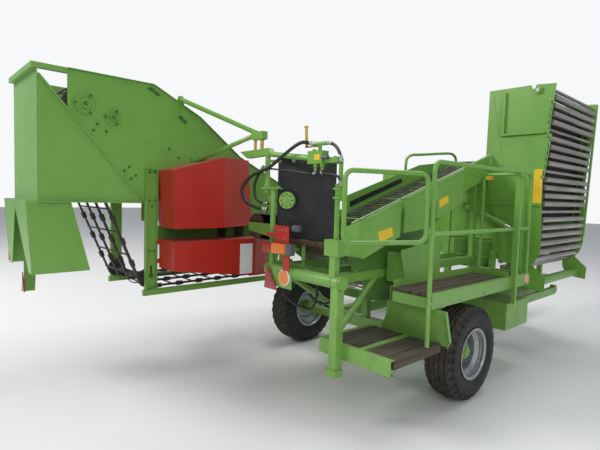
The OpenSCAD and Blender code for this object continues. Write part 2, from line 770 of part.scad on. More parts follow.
// A disc coulter on its hub, outside the intake's plate, turning about X
module disc(x, dir) {
    color(steel) place() translate([x + dir * disc_gap, disc_at.x, disc_at.y]) rotate([0, dir * 90,
        0]) difference() {
        union() {
            cylinder(h = 5, r = disc_r, $fn = 64);
            translate([0, 0, 5]) cylinder(h = disc_hub_h, r = 55);
        }
        translate([0, 0, -1]) cylinder(h = disc_hub_h + 10, d = disc_pin_d + 2 * fit);
    }
}

module disc_left() {
    disc(intake_x0, -1);
}

module disc_right() {
    disc(intake_x1, 1);
}

module ridge_roller() {
    x0 = intake_x0 + 6;
    w = intake_x1 - 6 - x0;
    bore = roller_pin_d / 2 + fit;
    color(steel) place() translate([x0, roller_at.x, roller_at.y]) rotate([0, 90, 0])
        rotate_extrude($fn = 64) polygon([[bore, 0], [roller_r - 10, 0], [roller_r, 20], [roller_r, 60],
            [roller_r - 90, w / 2 - 60], [roller_r - 90, w / 2 + 60], [roller_r, w - 60], [roller_r,
                w - 20],
            [roller_r - 10, w], [bore, w]]);
}

// Red guards over the drives

guard_x = 820;
guard_t = 3;
guard_turn = 25;

// A guard's block: a side outline in [y, z], turned inward in front of a crease
module guard(x_in, crease_y, outline) {
    intersection() {
        side_sheet(x_in, -guard_x) polygon(outline);
        guard_plan(x_in, crease_y, outline, 0);
    }
}

// The ground plan of a guard, drawn in by the gap t
module guard_plan(x_in, crease_y, outline, t) {
    rear_y = min([for (p = outline) p.x]) + t;
    front_y = max([for (p = outline) p.x]) - t;
    bend_y = crease_y - t * tan(guard_turn / 2);
    front_x = -guard_x - t - (front_y - bend_y) * tan(guard_turn);
    translate([0, 0, 700]) linear_extrude(height = 1500) polygon([[x_in - t, rear_y], [-guard_x - t,
        rear_y],
        [-guard_x - t, bend_y], [front_x, front_y], [x_in - t, front_y]]);
}

// A guard of sheet, open towards the channel
module hollow_guard(x_in, crease_y, outline, inner) {
    color(red) place() difference() {
        guard(x_in, crease_y, outline);
        intersection() {
            side_sheet(x_in - 1, -guard_x) polygon(inner);
            guard_plan(x_in, crease_y, outline, guard_t);
        }
    }
}

module guard_upper() {
    t = guard_t;
    difference() {
        hollow_guard(-plate_x, -1190,
            [[-1675, 1320], [-700, 1320], [-785, 1980], [-1190, 1972], [-1702, 1828]],
            [[-1675 + t, 1320 + t], [-700 - t, 1320 + t], [-785 - t, 1980 - t], [-1190, 1972 - t],
                [-1702 + t, 1828 - t]]);
        place() block([-plate_x - 1, -1380, 1880], [-1020, -1265, 2000]);
    }
}

module guard_lower() {
    t = guard_t;
    x = -plate_x + post_t;
    hollow_guard(x, -815,
        [[-1690, 950], [-815, 832], [-560, 812], [-590, 1195], [-815, 1205], [-1690, 1210]],
        [[-1690 + t, 950 + t], [-815, 832 + t], [-560 - t, 812 + t], [-590 - t, 1195 - t], [-815, 1205 - t],
            [-1690 + t, 1210 - t]]);
    color(red) place() for (z = [990, 1160]) block([x, post_y1 - 8, z], [x + 8, -1686, z + 40]);
}

// Cross web under the curtain

cross_loop = [[-35, 1345, 110], [-640, 1345, 110]];
cross_y0 = -950;
cross_y1 = -360;
finger_rows = 22;
finger_pitch = 74;

module cross_web() {
    total = loop_length(cross_loop, belt_t);
    color(rust) place() {
        across_y(cross_y1) {
            linear_extrude(height = cross_y1 - cross_y0) difference() {
                loop_fill(cross_loop, belt_t);
                loop_fill(cross_loop, 0);
            }
            for (k = [0 : finger_rows - 1], f = [0 : 7]) {
                at = loop_at(cross_loop, belt_t, (k + 0.5) * total / finger_rows);
                translate([at[0].x, at[0].y, 40 + f * finger_pitch]) rotate(at[1]) rotate([0, 90, 0])
                    translate([0, 0, -1]) cylinder(h = 32, r = 5, $fn = 4);
            }
        }
        for (p = cross_loop) {
            bar_y(cross_y0 - 15, cross_y1 + 15, p[0], p[1], 50);
            bar_y(cross_y0 + end_in, cross_y0 + 20, p[0], p[1], 2 * p[2] + belt_t);
            bar_y(cross_y1 - 20, cross_y1 - end_in, p[0], p[1], 2 * p[2] + belt_t);
        }
    }
}

// Side plates that carry the rollers of the cross web
module cross_frame() {
    color(green) place() for (y = [cross_y0 - 20, cross_y1 + 15]) {
        rear_sheet(y, y + 5) polygon([[-730, 1300], [-280, 1250], [60, 1250], [100, 1300], [100, 1380],
            [-730, 1380]]);
        block([rail_left_x - 30, y, upper_top], [rail_left_x + 30, y + 5, 1260]);
        block([20, y, upper_top], [60, y + 5, 1260]);
        block([rail_left_x - 35, y, upper_top], [upper_left_x + 25, y + 5, upper_top + 20]);
    }
}

curtain_angle = 22;
curtain_at = [-150, -1105];
curtain_w = 520;
curtain_z0 = 1285;
curtain_z1 = 1950;
motor_out = 105;
motor_z = 1600;
motor_r = 70;
motor_hole_r = 92;

// Moves a drawing in [along the curtain, up] to the curtain's plane
module on_curtain(t) {
    place() translate([curtain_at.x, curtain_at.y, 0]) rotate(curtain_angle) translate([0, t, 0])
        rotate([90, 0, 0]) children();
}

module rubber_curtain() {
    color(black) on_curtain(5) linear_extrude(height = 5) difference() {
        union() {
            translate([0, curtain_z0 + 60]) square([curtain_w, curtain_z1 - curtain_z0 - 60]);
            translate([60, curtain_z0]) square([curtain_w - 120, 61]);
            for (u = [60, curtain_w - 60]) translate([u, curtain_z0 + 60]) circle(r = 60);
        }
        translate([motor_out, motor_z]) circle(r = motor_hole_r);
    }
}

curtain_far = [curtain_at.x + curtain_w * cos(curtain_angle),
    curtain_at.y + curtain_w * sin(curtain_angle) - 8,
    curtain_z1 - 25];

module web_motor() {
    on_curtain(0) difference() {
        union() {
            translate([motor_out, motor_z, 10]) cylinder(h = 26, r = motor_r);
            translate([motor_out, motor_z, 36]) cylinder(h = 8, r = 14);
            translate([motor_out, motor_z, -90]) cylinder(h = 101, r = 48);
            block([-90, motor_z - 30, -20], [motor_out, motor_z + 30, -8]);
        }
        for (a = [0 : 45 : 315]) translate([motor_out + 50 * cos(a), motor_z + 50 * sin(a), 26])
            cylinder(h = 20, r = 7);
    }
}

valve_at = [341, cross_y, 1882];
valve_size = [154, 70, 96];

module valve_block() {
    c = valve_at;
    place() difference() {
        union() {
            block([c.x - valve_size.x / 2, c.y - valve_size.y / 2, c.z],
                [c.x + valve_size.x / 2, c.y + valve_size.y / 2, c.z + valve_size.z]);
            for (x = [c.x - 10, c.x + 60]) {
                bar_z(c.z - 22, c.z + 1, x, c.y - 12, 34);
                bar_z(c.z - 50, c.z - 22, x, c.y - 12, 22);
            }
            bar_z(c.z + valve_size.z - 1, 2020, c.x + 29, c.y - 10, 30);
            bar_x(c.x - 10, c.x + 100, c.y - 10, 2030, 30);
            bar_z(c.z + valve_size.z - 1, c.z + valve_size.z + 14, c.x - 40, c.y, 30);
        }
        rod_between(top_tube_left, top_tube_right, 45);
    }
}

module hydraulics() {
    color(green) {
        web_motor();
        valve_block();
        on_curtain(25) linear_extrude(height = 20) translate([-87.5,
            curtain_z1 - 40]) square([curtain_w + 67.5, 25]);
    }
}

// Hoses

// A hose swept round its points
module hose(points, r) {
    n = len(points);
    sides = 8;
    dirs = [for (i = [0 : n - 1]) let (d = points[min(i + 1, n - 1)] - points[max(i - 1, 0)]) d / norm(d)];
    rings = [for (i = [0 : n - 1], k = [0 : sides - 1])
        let (a = cross(dirs[i], [0.31, 0.27, 0.91]), u = a / norm(a), v = cross(dirs[i], u),
            t = k * 360 / sides)
        points[i] + r * (cos(t) * u + sin(t) * v)];
    walls = [for (i = [0 : n - 2], k = [0 : sides - 1], half = [0, 1])
        let (m = (k + 1) % sides, low = i * sides, high = low + sides)
        half == 0 ? [low + k, high + k, high + m] : [low + k, high + m, low + m]];
    polyhedron(points = rings, faces = concat([[for (k = [0 : sides - 1]) k]], walls,
        [[for (k = [sides - 1 : -1 : 0]) (n - 1) * sides + k]]), convexity = 6);
}

// A smooth line through chosen points
function smooth(p, steps = 4) = [for (i = [0 : len(p) - 2], s = [0 : steps - 1])
    let (t = s / steps, a = p[max(i - 1, 0)], b = p[i], c = p[i + 1], d = p[min(i + 2, len(p) - 1)])
    0.5 * (2 * b + (c - a) * t + (2 * a - 5 * b + 4 * c - d) * t * t + (3 * b - a - 3 * c + d) * t * t * t),
    p[len(p) - 1]];

module hoses() {
    color(black) place() {
        hose(smooth([[327, -1140, 2030], [280, -1143, 2037], [190, -1178, 2042], [20, -1192, 1959],
            [-166, -1196, 1861],
            [-369, -1198, 1806], [-498, -1196, 1729], [-540, -1192, 1658], [-477, -1186, 1571], [-316,
                -1180, 1525],
            [-200, -1168, 1522]]), 14);
        hose(smooth([[-262, -1170, 1880], [-300, -1176, 1835], [-370, -1168, 1763], [-393, -1166, 1690],
            [-370, -1163, 1610], [-290, -1160, 1570], [-205, -1158, 1568]]), 12);
        hose(smooth([[442, -1140, 2030], [460, -1140, 2030], [500, -1146, 2022], [560, -1160, 1990],
            [606, -1172, 1935],
            [622, -1176, 1880]]), 12);
        hose(smooth([[331, -1142, 1829], [330, -1150, 1813], [300, -1176, 1808], [200, -1184, 1822], [40,
            -1188, 1838],
            [-130, -1185, 1852], [-222, -1172, 1858]]), 7);
        hose(smooth([[401, -1142, 1828], [402, -1148, 1812], [470, -1176, 1800], [550, -1184, 1800],
            [612, -1186, 1775],
            [636, -1180, 1712]]), 9);
        hose(smooth([[-240, -900, 974.5], [-240, -900, 962], [-240, -900, 950], [-284, -900, 860], [-262,
            -900, 760],
            [-150, -900, 705], [-20, -900, 686], [90, -900, 700], [142, -900, 800], [150, -900, 950],
                [150, -900, 962],
            [150, -900, 974.5]]), 11);
        hose(smooth([[-245, -600, 974.5], [-245, -600, 962], [-245, -600, 950], [-296, -600, 840], [-240,
            -600, 720],
            [-150, -600, 672], [-40, -600, 672], [70, -600, 740], [136, -600, 850], [150, -600, 950],
                [150, -600, 962],
            [150, -600, 974.5]]), 11);
    }
}

module tie_tubes() {
    head = [-390, cross_y, 2146];
    lug_z = channel_edge(-1480);
    color(green) place() {
        rod_between([-plate_x + 10, -1480, lug_z + 34], head + [-40, 0, 28], 42);
        rod_between([-plate_x + 18, -1327, 1934], head + [-80, 0, 6], 40);
        block(head - [82, 28, 33], head + [83, 28, 33]);
        side_sheet(-plate_x + 2, -plate_x + 14) polygon([[-1515, channel_edge(-1515) + seat],
            [-1445, channel_edge(-1445) + seat], [-1455, lug_z + 62], [-1500, lug_z + 62]]);
        block([-plate_x, -1360, 1905], [-plate_x + 30, -1300, 1965]);
        bar_z(2028.5, head.z, -346, cross_y, 30);
        bar_z(2025, head.z, -440, cross_y, 24);
    }
}

// Sorting table

table_y0 = -900;
table_y1 = 1330;
table_z = 1435;
board_t = 5;
board_h = 240;
left_board_up = 110;
left_board_y0 = -330;

// Height of the table's top edge at a place along the machine
function table_top(y) = table_z + table_rise * (y - table_y0);

function table_board(up, down, y0 = table_y0) = [[y0, table_top(y0) + up], [y0, table_top(y0) - down],
    [table_y1, table_top(table_y1) - down], [table_y1, table_top(table_y1) + up]];

table_loop = [[table_y1 - 60, table_top(table_y1 - 60) - 100, 45], [table_y0 + 60,
    table_top(table_y0 + 60) - 100, 45]];
table_bars = [-760, 250, 1150];

module table_frame() {
    color(green) place() {
        side_sheet(table_right_x, table_right_x + board_t) polygon(table_board(0, board_h));
        side_sheet(table_left_x - board_t, table_left_x) polygon(table_board(left_board_up, board_h,
            left_board_y0));
        for (y = table_bars) {
            z = table_top(y) - board_h;
            block([table_left_x, y - 20, z + 10], [table_right_x, y + 20, z + 40]);
            for (x = [upper_left_x, upper_right_x]) block([x - 25, y - 20, upper_top], [x + 25, y + 20,
                z + 10]);
        }
    }
}

module sorting_web() {
    color(rust) place() {
        across_x(table_left_x + 12) web(table_loop, table_right_x - table_left_x - 24, 50, rod_r, 2);
        for (p = table_loop) bar_x(table_left_x, table_right_x, p[0], p[1], 36);
    }
}

chute_x = 700;
chute_table = [[-985, -550, 1485, 1625, 1200, 1345], [-500, -150, 1640, 1750, 1370, 1400],
    [-30, 400, 1790, 1920, 1480, 1610]];

// Chutes on the side of the table, open above and below
module chutes() {
    color(green) place() {
        chute_boxes();
        lower_chute();
    }
}

module chute_boxes() {
    t = 4;
    y_rear = 0;
    y_front = 1;
    top_rear = 2;
    top_front = 3;
    low_rear = 4;
    low_front = 5;
    for (c = chute_table) difference() {
        side_sheet(table_right_x + board_t, chute_x) polygon([[c[y_rear], c[top_rear]], [c[y_rear],
            c[low_rear]],
            [c[y_front], c[low_front]], [c[y_front], c[top_front]]]);
        block([table_right_x + board_t - 1, c[y_rear] + t, 1000], [chute_x - t, c[y_front] - t, 2100]);
    }
}

lower_chute_y = [-440, 150];

module lower_chute() {
    t = 4;
    difference() {
        block([table_right_x + board_t, lower_chute_y[0], platform_z], [chute_x - 5, lower_chute_y[1],
            1180]);
        block([table_right_x + board_t + t, lower_chute_y[0] + t, platform_z - 1],
            [chute_x - 5 - t, lower_chute_y[1] - t, 1181]);
    }
}

// Platform

platform_y0 = -620;
platform_y1 = 1140;
beam_h = 110;
beam_w = 40;
board_thick = 28;
inner_beam_x = 660;

module platform_frame() {
    z0 = platform_z - beam_h;
    color(green) place() {
        block([platform_x - beam_w, platform_y0, z0], [platform_x, platform_y1, platform_z]);
        block([inner_beam_x, platform_y0, z0], [inner_beam_x + beam_w, platform_y1, platform_z]);
        for (y = [platform_y0, platform_y1 - beam_w])
            block([inner_beam_x + beam_w, y, z0], [platform_x - beam_w, y + beam_w, platform_z]);
        for (y = [200, platform_y1 - beam_w])
            block([upper_right_x + 35, y, z0], [inner_beam_x, y + beam_w, platform_z]);
        for (y = [-200, 300])
            block([inner_beam_x + beam_w, y, z0], [platform_x - beam_w, y + 30, platform_z - board_thick]);
        block([rail_right_x + rail_w / 2, 560, rail_z + 20], [rail_right_x + rail_w / 2 + 30, 600, z0]);
    }
}

step_z = 565;
step_x0 = 380;
step_y1 = -460;

module boards() {
    gap = 6;
    w = (platform_x - beam_w - inner_beam_x - beam_w - 4 * gap) / 3;
    color("dimgray") place() {
        for (k = [0 : 2]) {
            x = inner_beam_x + beam_w + gap + k * (w + gap);
            block([x, platform_y0 + beam_w + 2, platform_z - board_thick], [x + w,
                platform_y1 - beam_w - 2, platform_z]);
        }
        for (k = [0 : 5]) {
            x = step_x0 + 46 + k * 96;
            if (x < 1000) block([x, step_rear_y + 45, rail_top], [x + 88, step_y1 - 4, rail_top + 22]);
        }
    }
}

module step_frame() {
    z0 = 455;
    color(green) place() difference() {
        union() {
            block([step_x0, step_rear_y, z0], [platform_x, step_rear_y + 44, step_z]);
            block([step_x0, step_rear_y + 44, z0], [step_x0 + 40, step_y1, step_z]);
            block([platform_x - 40, step_rear_y + 44, z0], [platform_x, step_y1, step_z]);
            for (y = [-820, -520], x = [[step_x0 + 40, rail_right_x - rail_w / 2],
                [rail_right_x + rail_w / 2, platform_x - 40]])
                block([x[0], y, rail_top - 30], [x[1], y + 30, rail_top]);
        }
        block([step_x0 + 8, step_rear_y - 1, z0 + 10], [platform_x - 8, step_rear_y + 34, step_z - 10]);
    }
}

// Guard rails

rail_post = [1033, -637];
hoop_y = 1118;
hoop_x0 = 550;
hoop_w = 410;
rail_end_y = 1095;

gate_axis = [1033, -672];
gate_hinges = [1420, 1690];
gate_pin_d = 14;

module guard_rails() {
    r = 70;
    x = rail_post.x;
    color(green) place() {
        translate([x, rail_post.y, step_z]) rotate(90)
            arch(rail_end_y - rail_post.y, step_z, guard_z, r, guard_d, platform_z);
        bar_y(rail_post.y, rail_end_y, x, 1390, guard_d);
        translate([hoop_x0, hoop_y, platform_z]) arch(hoop_w, platform_z, guard_z, r, guard_d, platform_z);
        block([x + 5, 735, platform_z + 5], [x + 52, 775, guard_z - 10]);
        block([platform_x, 735, 700], [x + 52, 775, platform_z + 6]);
        for (z = gate_hinges) {
            block([x - 8, gate_axis.y - 8, z - 30], [x + 8, rail_post.y - 10, z - 22]);
            bar_z(z - 30, z + 24, x, gate_axis.y, gate_pin_d);
        }
    }
}

module gate() {
    lead = 30;
    color(green) place() translate([gate_axis.x, gate_axis.y, 0]) rotate(-90 - gate_rest) {
        translate([lead, 0, 0]) tube_frame(gate_w - lead, 1335, 1820, 60, guard_d);
        for (z = gate_hinges) difference() {
            union() {
                bar_z(z - 21, z + 24, 0, 0, 26);
                block([8, -4, z - 21], [lead, 4, z + 24]);
            }
            bar_z(z - 40, z + 40, 0, 0, gate_pin_d + 2 * fit);
        }
    }
}

module mudguard() {
    y = -455;
    color(green) place() {
        rear_sheet(y, y + 4) polygon([[470, rail_top], [mudguard_x - 40, 540], [mudguard_x,
            platform_z - beam_h - 2],
            [470, platform_z - beam_h - 2]]);
        rear_sheet(y - 40, y) polygon([[mudguard_x - 44, 540], [mudguard_x - 40, 540],
            [mudguard_x, platform_z - beam_h - 2], [mudguard_x - 4, platform_z - beam_h - 2]]);
    }
}

module front_box() {
    color(green) place() {
        block([700, 660, 455], [platform_x, 1150, 705]);
        block([rail_right_x + rail_w / 2, 850, rail_z + 20], [700, 910, rail_top - 10]);
        block([875, 1150, 575], [925, 2290, 655]);
        bar_x(872, 928, 2290, 635, 90);
    }
}

// Bunker

floor_z = 1160;
arm_axis = [905, 1150];
bunker_outline = [[-950, 2000], [-950, 1700], [-420, 1020], [640, 1020], [740, 985], [960, 985], [1010,
    1060],
    [1010, 1215], [780, 1290], [780, 2000]];
gusset = [[975, 1012], [1121, 878], [1115, 738], [908, 760], [856, 870], [856, 1012]];
stay_tube = [985, 808];
arm_y0 = bunker_y - arm_gap - 4;
arm_y1 = bunker_y1 + arm_gap + 4;
pivot_d = 60;
cyl_eye = [250, 1590];
cyl_y = 1285;
cyl_pin_d = 25;

module bunker_hull() {
    t = 5;
    color(green) place() {
        for (y = [bunker_y, bunker_y1 - t]) rear_sheet(y, y + t) polygon(bunker_outline);
        rear_sheet(bunker_y + t, bunker_y1 - t) polygon([[-950, 2000], [-950, 1700], [-420, 1020], [-412,
            1020],
            [-945, 1702], [-945, 2000]]);
        for (y = [bunker_y + t, bunker_y1 - t - 60]) block([-415, y, 1020], [500, y + 60, 1030]);
        for (y = [bunker_y + 20, bunker_y1 - 80])
            block([rail_left_x - 30, y, rail_top], [rail_left_x + 30, y + 60, 1020]);
        for (y = [bunker_y - 45, bunker_y1])
            block([rail_right_x - 30, y, rail_top], [rail_right_x + 30, y + 45, 1110]);
        for (y = [bunker_y, bunker_y1 - t]) rear_sheet(y, y + t) polygon(gusset);
        bar_y(bunker_y + t - 1, bunker_y1 - t + 1, stay_tube.x, stay_tube.y, 95);
        for (z = [1020, 1230]) block([-380, bunker_y - 25, z], [540, bunker_y, z + 12]);
        for (y = [[arm_y0 - 25, bunker_y + t - 1], [bunker_y1 - t + 1, arm_y1 + 25]])
            bar_y(y[0], y[1], arm_axis.x, arm_axis.y, pivot_d);
        for (y = [arm_y0 - 32, arm_y1 + 22]) bar_y(y, y + 10, arm_axis.x, arm_axis.y, pivot_d + 24);
        block([cyl_eye.x - 60, bunker_y - 12, cyl_eye.y - 60], [cyl_eye.x + 60, bunker_y, cyl_eye.y + 60]);
        bar_y(cyl_y + 28, bunker_y - 12, cyl_eye.x, cyl_eye.y, 60);
        bar_y(cyl_y - 42, cyl_y + 29, cyl_eye.x, cyl_eye.y, cyl_pin_d);
        bar_y(cyl_y - 38, cyl_y - 28, cyl_eye.x, cyl_eye.y, 48);
    }
}

floor_loop = [[398, floor_z, 55], [-305, floor_z, 55]];
arm_top = [1010, arm_z - 108];
arm_foot = [795, 1190];
arm_loop = [[arm_foot.x, arm_foot.y, 200], [arm_top.x, arm_top.y, 46]];
arm_bearing = [957, arm_z - 62];

// Slats round a loop, with a plain bar at every fifth
module slats(loop, width) {
    out = belt_t;
    total = loop_length(loop, out);
    count = floor(total / slat_pitch);
    for (k = [0 : count - 1]) {
        at = loop_at(loop, out, (k + 0.5) * total / count);
        d = k % 5 == 4 ? slat_d * 0.6 : slat_d;
        translate([at[0].x, at[0].y, end_in]) rotate(at[1]) translate([d / 2 - 4, 0, 0])
            cylinder(h = width - 2 * end_in, d = d, $fn = 8);
    }
}

module slat_web(loop, width, y1) {
    across_y(y1) {
        for (k = [0, 1]) translate([0, 0, k * (width - 30)]) linear_extrude(height = 30) difference() {
            loop_fill(loop, belt_t);
            loop_fill(loop, 0);
        }
        slats(loop, width);
        drums(loop, width, 34);
    }
}

module floor_web() {
    w = bunker_l - 30;
    color(steel) place() {
        slat_web(floor_loop, w, bunker_y1 - 15);
        for (p = floor_loop) bar_y(bunker_y + 5, bunker_y1 - 5, p[0], p[1], 45);
    }
}

// Heights of the arm's bends below its top edge
arm_bend = 961;
arm_back_bend = 732;
arm_back_foot = 1158;
arm_fold_low = 906;
arm_rib_down = 495;
arm_outline = [[640, 1250], [700, 1040], [800, 960], [950, 960], [1030, 1060], [1064, 1180],
    [1043, arm_z - arm_bend], [1116, arm_z - 14], [930, arm_z], [916, arm_z - 40], [896, arm_z - 40],
        [880, arm_z],
    [452, arm_z], [447, arm_z - arm_back_bend], [507, arm_z - arm_back_foot]];
arm_fold_sheet = [[452, arm_z], [483, arm_z], [664, arm_z - arm_fold_low], [690,
    arm_z - arm_back_foot - 12],
    [507, arm_z - arm_back_foot], [447, arm_z - arm_back_bend]];
arm_lug = [800, 1365];

module arm_frame() {
    color(green) place() {
        for (y = [arm_y0, arm_y1 - 4]) rear_sheet(y, y + 4) difference() {
            polygon(arm_outline);
            translate(arm_axis) circle(r = pivot_d / 2 + fit);
        }
        for (y = [arm_y0 - 3, arm_y1]) rear_sheet(y, y + 3) polygon(arm_fold_sheet);
        block([602, arm_y0 - 30, arm_z - arm_rib_down], [1041, arm_y0, arm_z - arm_rib_down + 20]);
        block([614, arm_y0 - 30, arm_z - arm_rib_down + 20], [636, arm_y0, arm_z - 40]);
        block([470, arm_y0 - 22, 1608], [1045, arm_y0, 1628]);
        block([447, arm_y0 + 4, arm_z - arm_back_bend + 12], [452, arm_y1 - 4, arm_z - 10]);
        rear_sheet(arm_y1, arm_y1 + 30) polygon([[1040, 1250], [1064, 1250], [1116, arm_z - 21], [1098,
            arm_z - 21]]);
        for (y = [arm_y0 - 30, arm_y1]) bar_y(y, y + 30, arm_bearing.x, arm_bearing.y, 60);
        for (y = [arm_y0 - 8, arm_y1]) bar_y(y, y + 8, arm_bearing.x, arm_bearing.y, 90);
        bar_y(arm_y0 - 40, arm_y0, arm_lug.x, arm_lug.y, 50);
    }
}

module arm_web() {
    w = bunker_l - 20;
    color(steel) place() {
        slat_web(arm_loop, w, bunker_y1 - 10);
        bar_y(arm_y0 + 4, arm_y1 - 4, arm_top.x, arm_top.y, 45);
        bar_y(bunker_y + 12, bunker_y1 - 12, arm_foot.x, arm_foot.y, 45);
    }
}

// Unloading cylinder on the bunker's rear wall

cyl_angle = atan2(arm_lug.y - cyl_eye.y, arm_lug.x - cyl_eye.x);
cyl_len = norm(arm_lug - cyl_eye);
barrel_len = cyl_len - 90;

// Draws along the cylinder, from its fixed eye
module along_cylinder() {
    place() translate([cyl_eye.x, cyl_y, cyl_eye.y]) rotate([0, -cyl_angle, 0]) children();
}

module cylinder_barrel() {
    color(green) along_cylinder() difference() {
        union() {
            bar_x(30, barrel_len, 0, 0, 64);
            bar_y(-20, 20, 0, 0, 64);
        }
        bar_x(60, barrel_len + 1, 0, 0, 32 + 2 * fit);
        bar_y(-30, 30, 0, 0, cyl_pin_d + 2 * fit);
    }
}

module cylinder_rod() {
    color(steel) along_cylinder() difference() {
        union() {
            bar_x(70, cyl_len - 18, 0, 0, 32);
            bar_y(-18, 18, cyl_len, 0, 50);
        }
        bar_y(-30, 30, cyl_len, 0, cyl_pin_d);
    }
}

// Rear lamps, reflectors and their plates

module rear_lights() {
    y = lamp_y;
    color(red) place() {
        rear_sheet(y - 5, y) polygon([[-82, 1180], [97, 1180], [97, 1386], [87, 1396], [-72, 1396], [-82,
            1386]]);
        block([-181, y - 55, 1172], [178, y - 5, 1258]);
        block([41, y - 12, 1040], [117, y, 1172]);
        block([-192, y - 5, 1300], [-82, y, 1330]);
        rear_sheet(y - 22, y - 14) polygon([[-152, 1063], [-180, 869], [-10, 870]]);
        block([-90, y - 14, 905], [-60, y, 935]);
        bar_y(y - 12, y, 55, 983, 100);
        block([-channel_left_x - 38, -2714, 981], [-channel_left_x, -2621, 1078]);
        rear_sheet(-2614, -2606) polygon([[-1946, 873], [-1988, 693], [-1880, 693]]);
        block([-1950, -2606, 760], [-1930, -2600, 790]);
    }
}

main_frame();
axle();
drawbar();
jack();
channel_right();
channel_left();
rear_hood();
channel_posts();
second_web();
haulm_web();
intake_frame();
digging_web();
share();
disc_left();
disc_right();
ridge_roller();
guard_upper();
guard_lower();
cross_frame();
cross_web();
rubber_curtain();
hydraulics();
hoses();
tie_tubes();
table_frame();
sorting_web();
chutes();
platform_frame();
boards();
step_frame();
guard_rails();
gate();
mudguard();
front_box();
bunker_hull();
floor_web();
arm_frame();
arm_web();
cylinder_barrel();
cylinder_rod();
wheel_left();
wheel_right();
tyre_left();
tyre_right();
rear_lights();
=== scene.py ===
"""Looks for the trailed potato harvester: painted sheet and tube, worn webs, rubber, boards, tyres, and small
fittings such as bolts, hoses, lamps and beads on edges."""

import math

import bpy
import numpy as np
from mathutils import Matrix, Vector


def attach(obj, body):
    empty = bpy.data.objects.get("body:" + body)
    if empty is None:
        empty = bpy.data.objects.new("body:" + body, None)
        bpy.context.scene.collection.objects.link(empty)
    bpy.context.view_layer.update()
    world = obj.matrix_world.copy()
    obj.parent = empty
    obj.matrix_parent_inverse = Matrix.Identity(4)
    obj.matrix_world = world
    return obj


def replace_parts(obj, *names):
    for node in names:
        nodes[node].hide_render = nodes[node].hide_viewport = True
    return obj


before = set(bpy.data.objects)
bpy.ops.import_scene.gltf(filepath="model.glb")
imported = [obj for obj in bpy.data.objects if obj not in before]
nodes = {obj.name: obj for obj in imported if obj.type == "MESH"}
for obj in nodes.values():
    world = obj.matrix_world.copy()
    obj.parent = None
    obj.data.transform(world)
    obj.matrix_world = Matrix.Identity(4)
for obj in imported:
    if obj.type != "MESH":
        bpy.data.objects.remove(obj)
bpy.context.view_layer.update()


# Working millimetres: X from the middle of the track, Y from the axle, Z from the ground

WORK_ORIGIN = (420.0, -780.0, 0.0)
AXLE_Z = 390.0


def place(points):
    """Points in metres in the shared frame, from working millimetres."""
    return (np.asarray(points, dtype=float) + WORK_ORIGIN) / 1000.0


# Materials

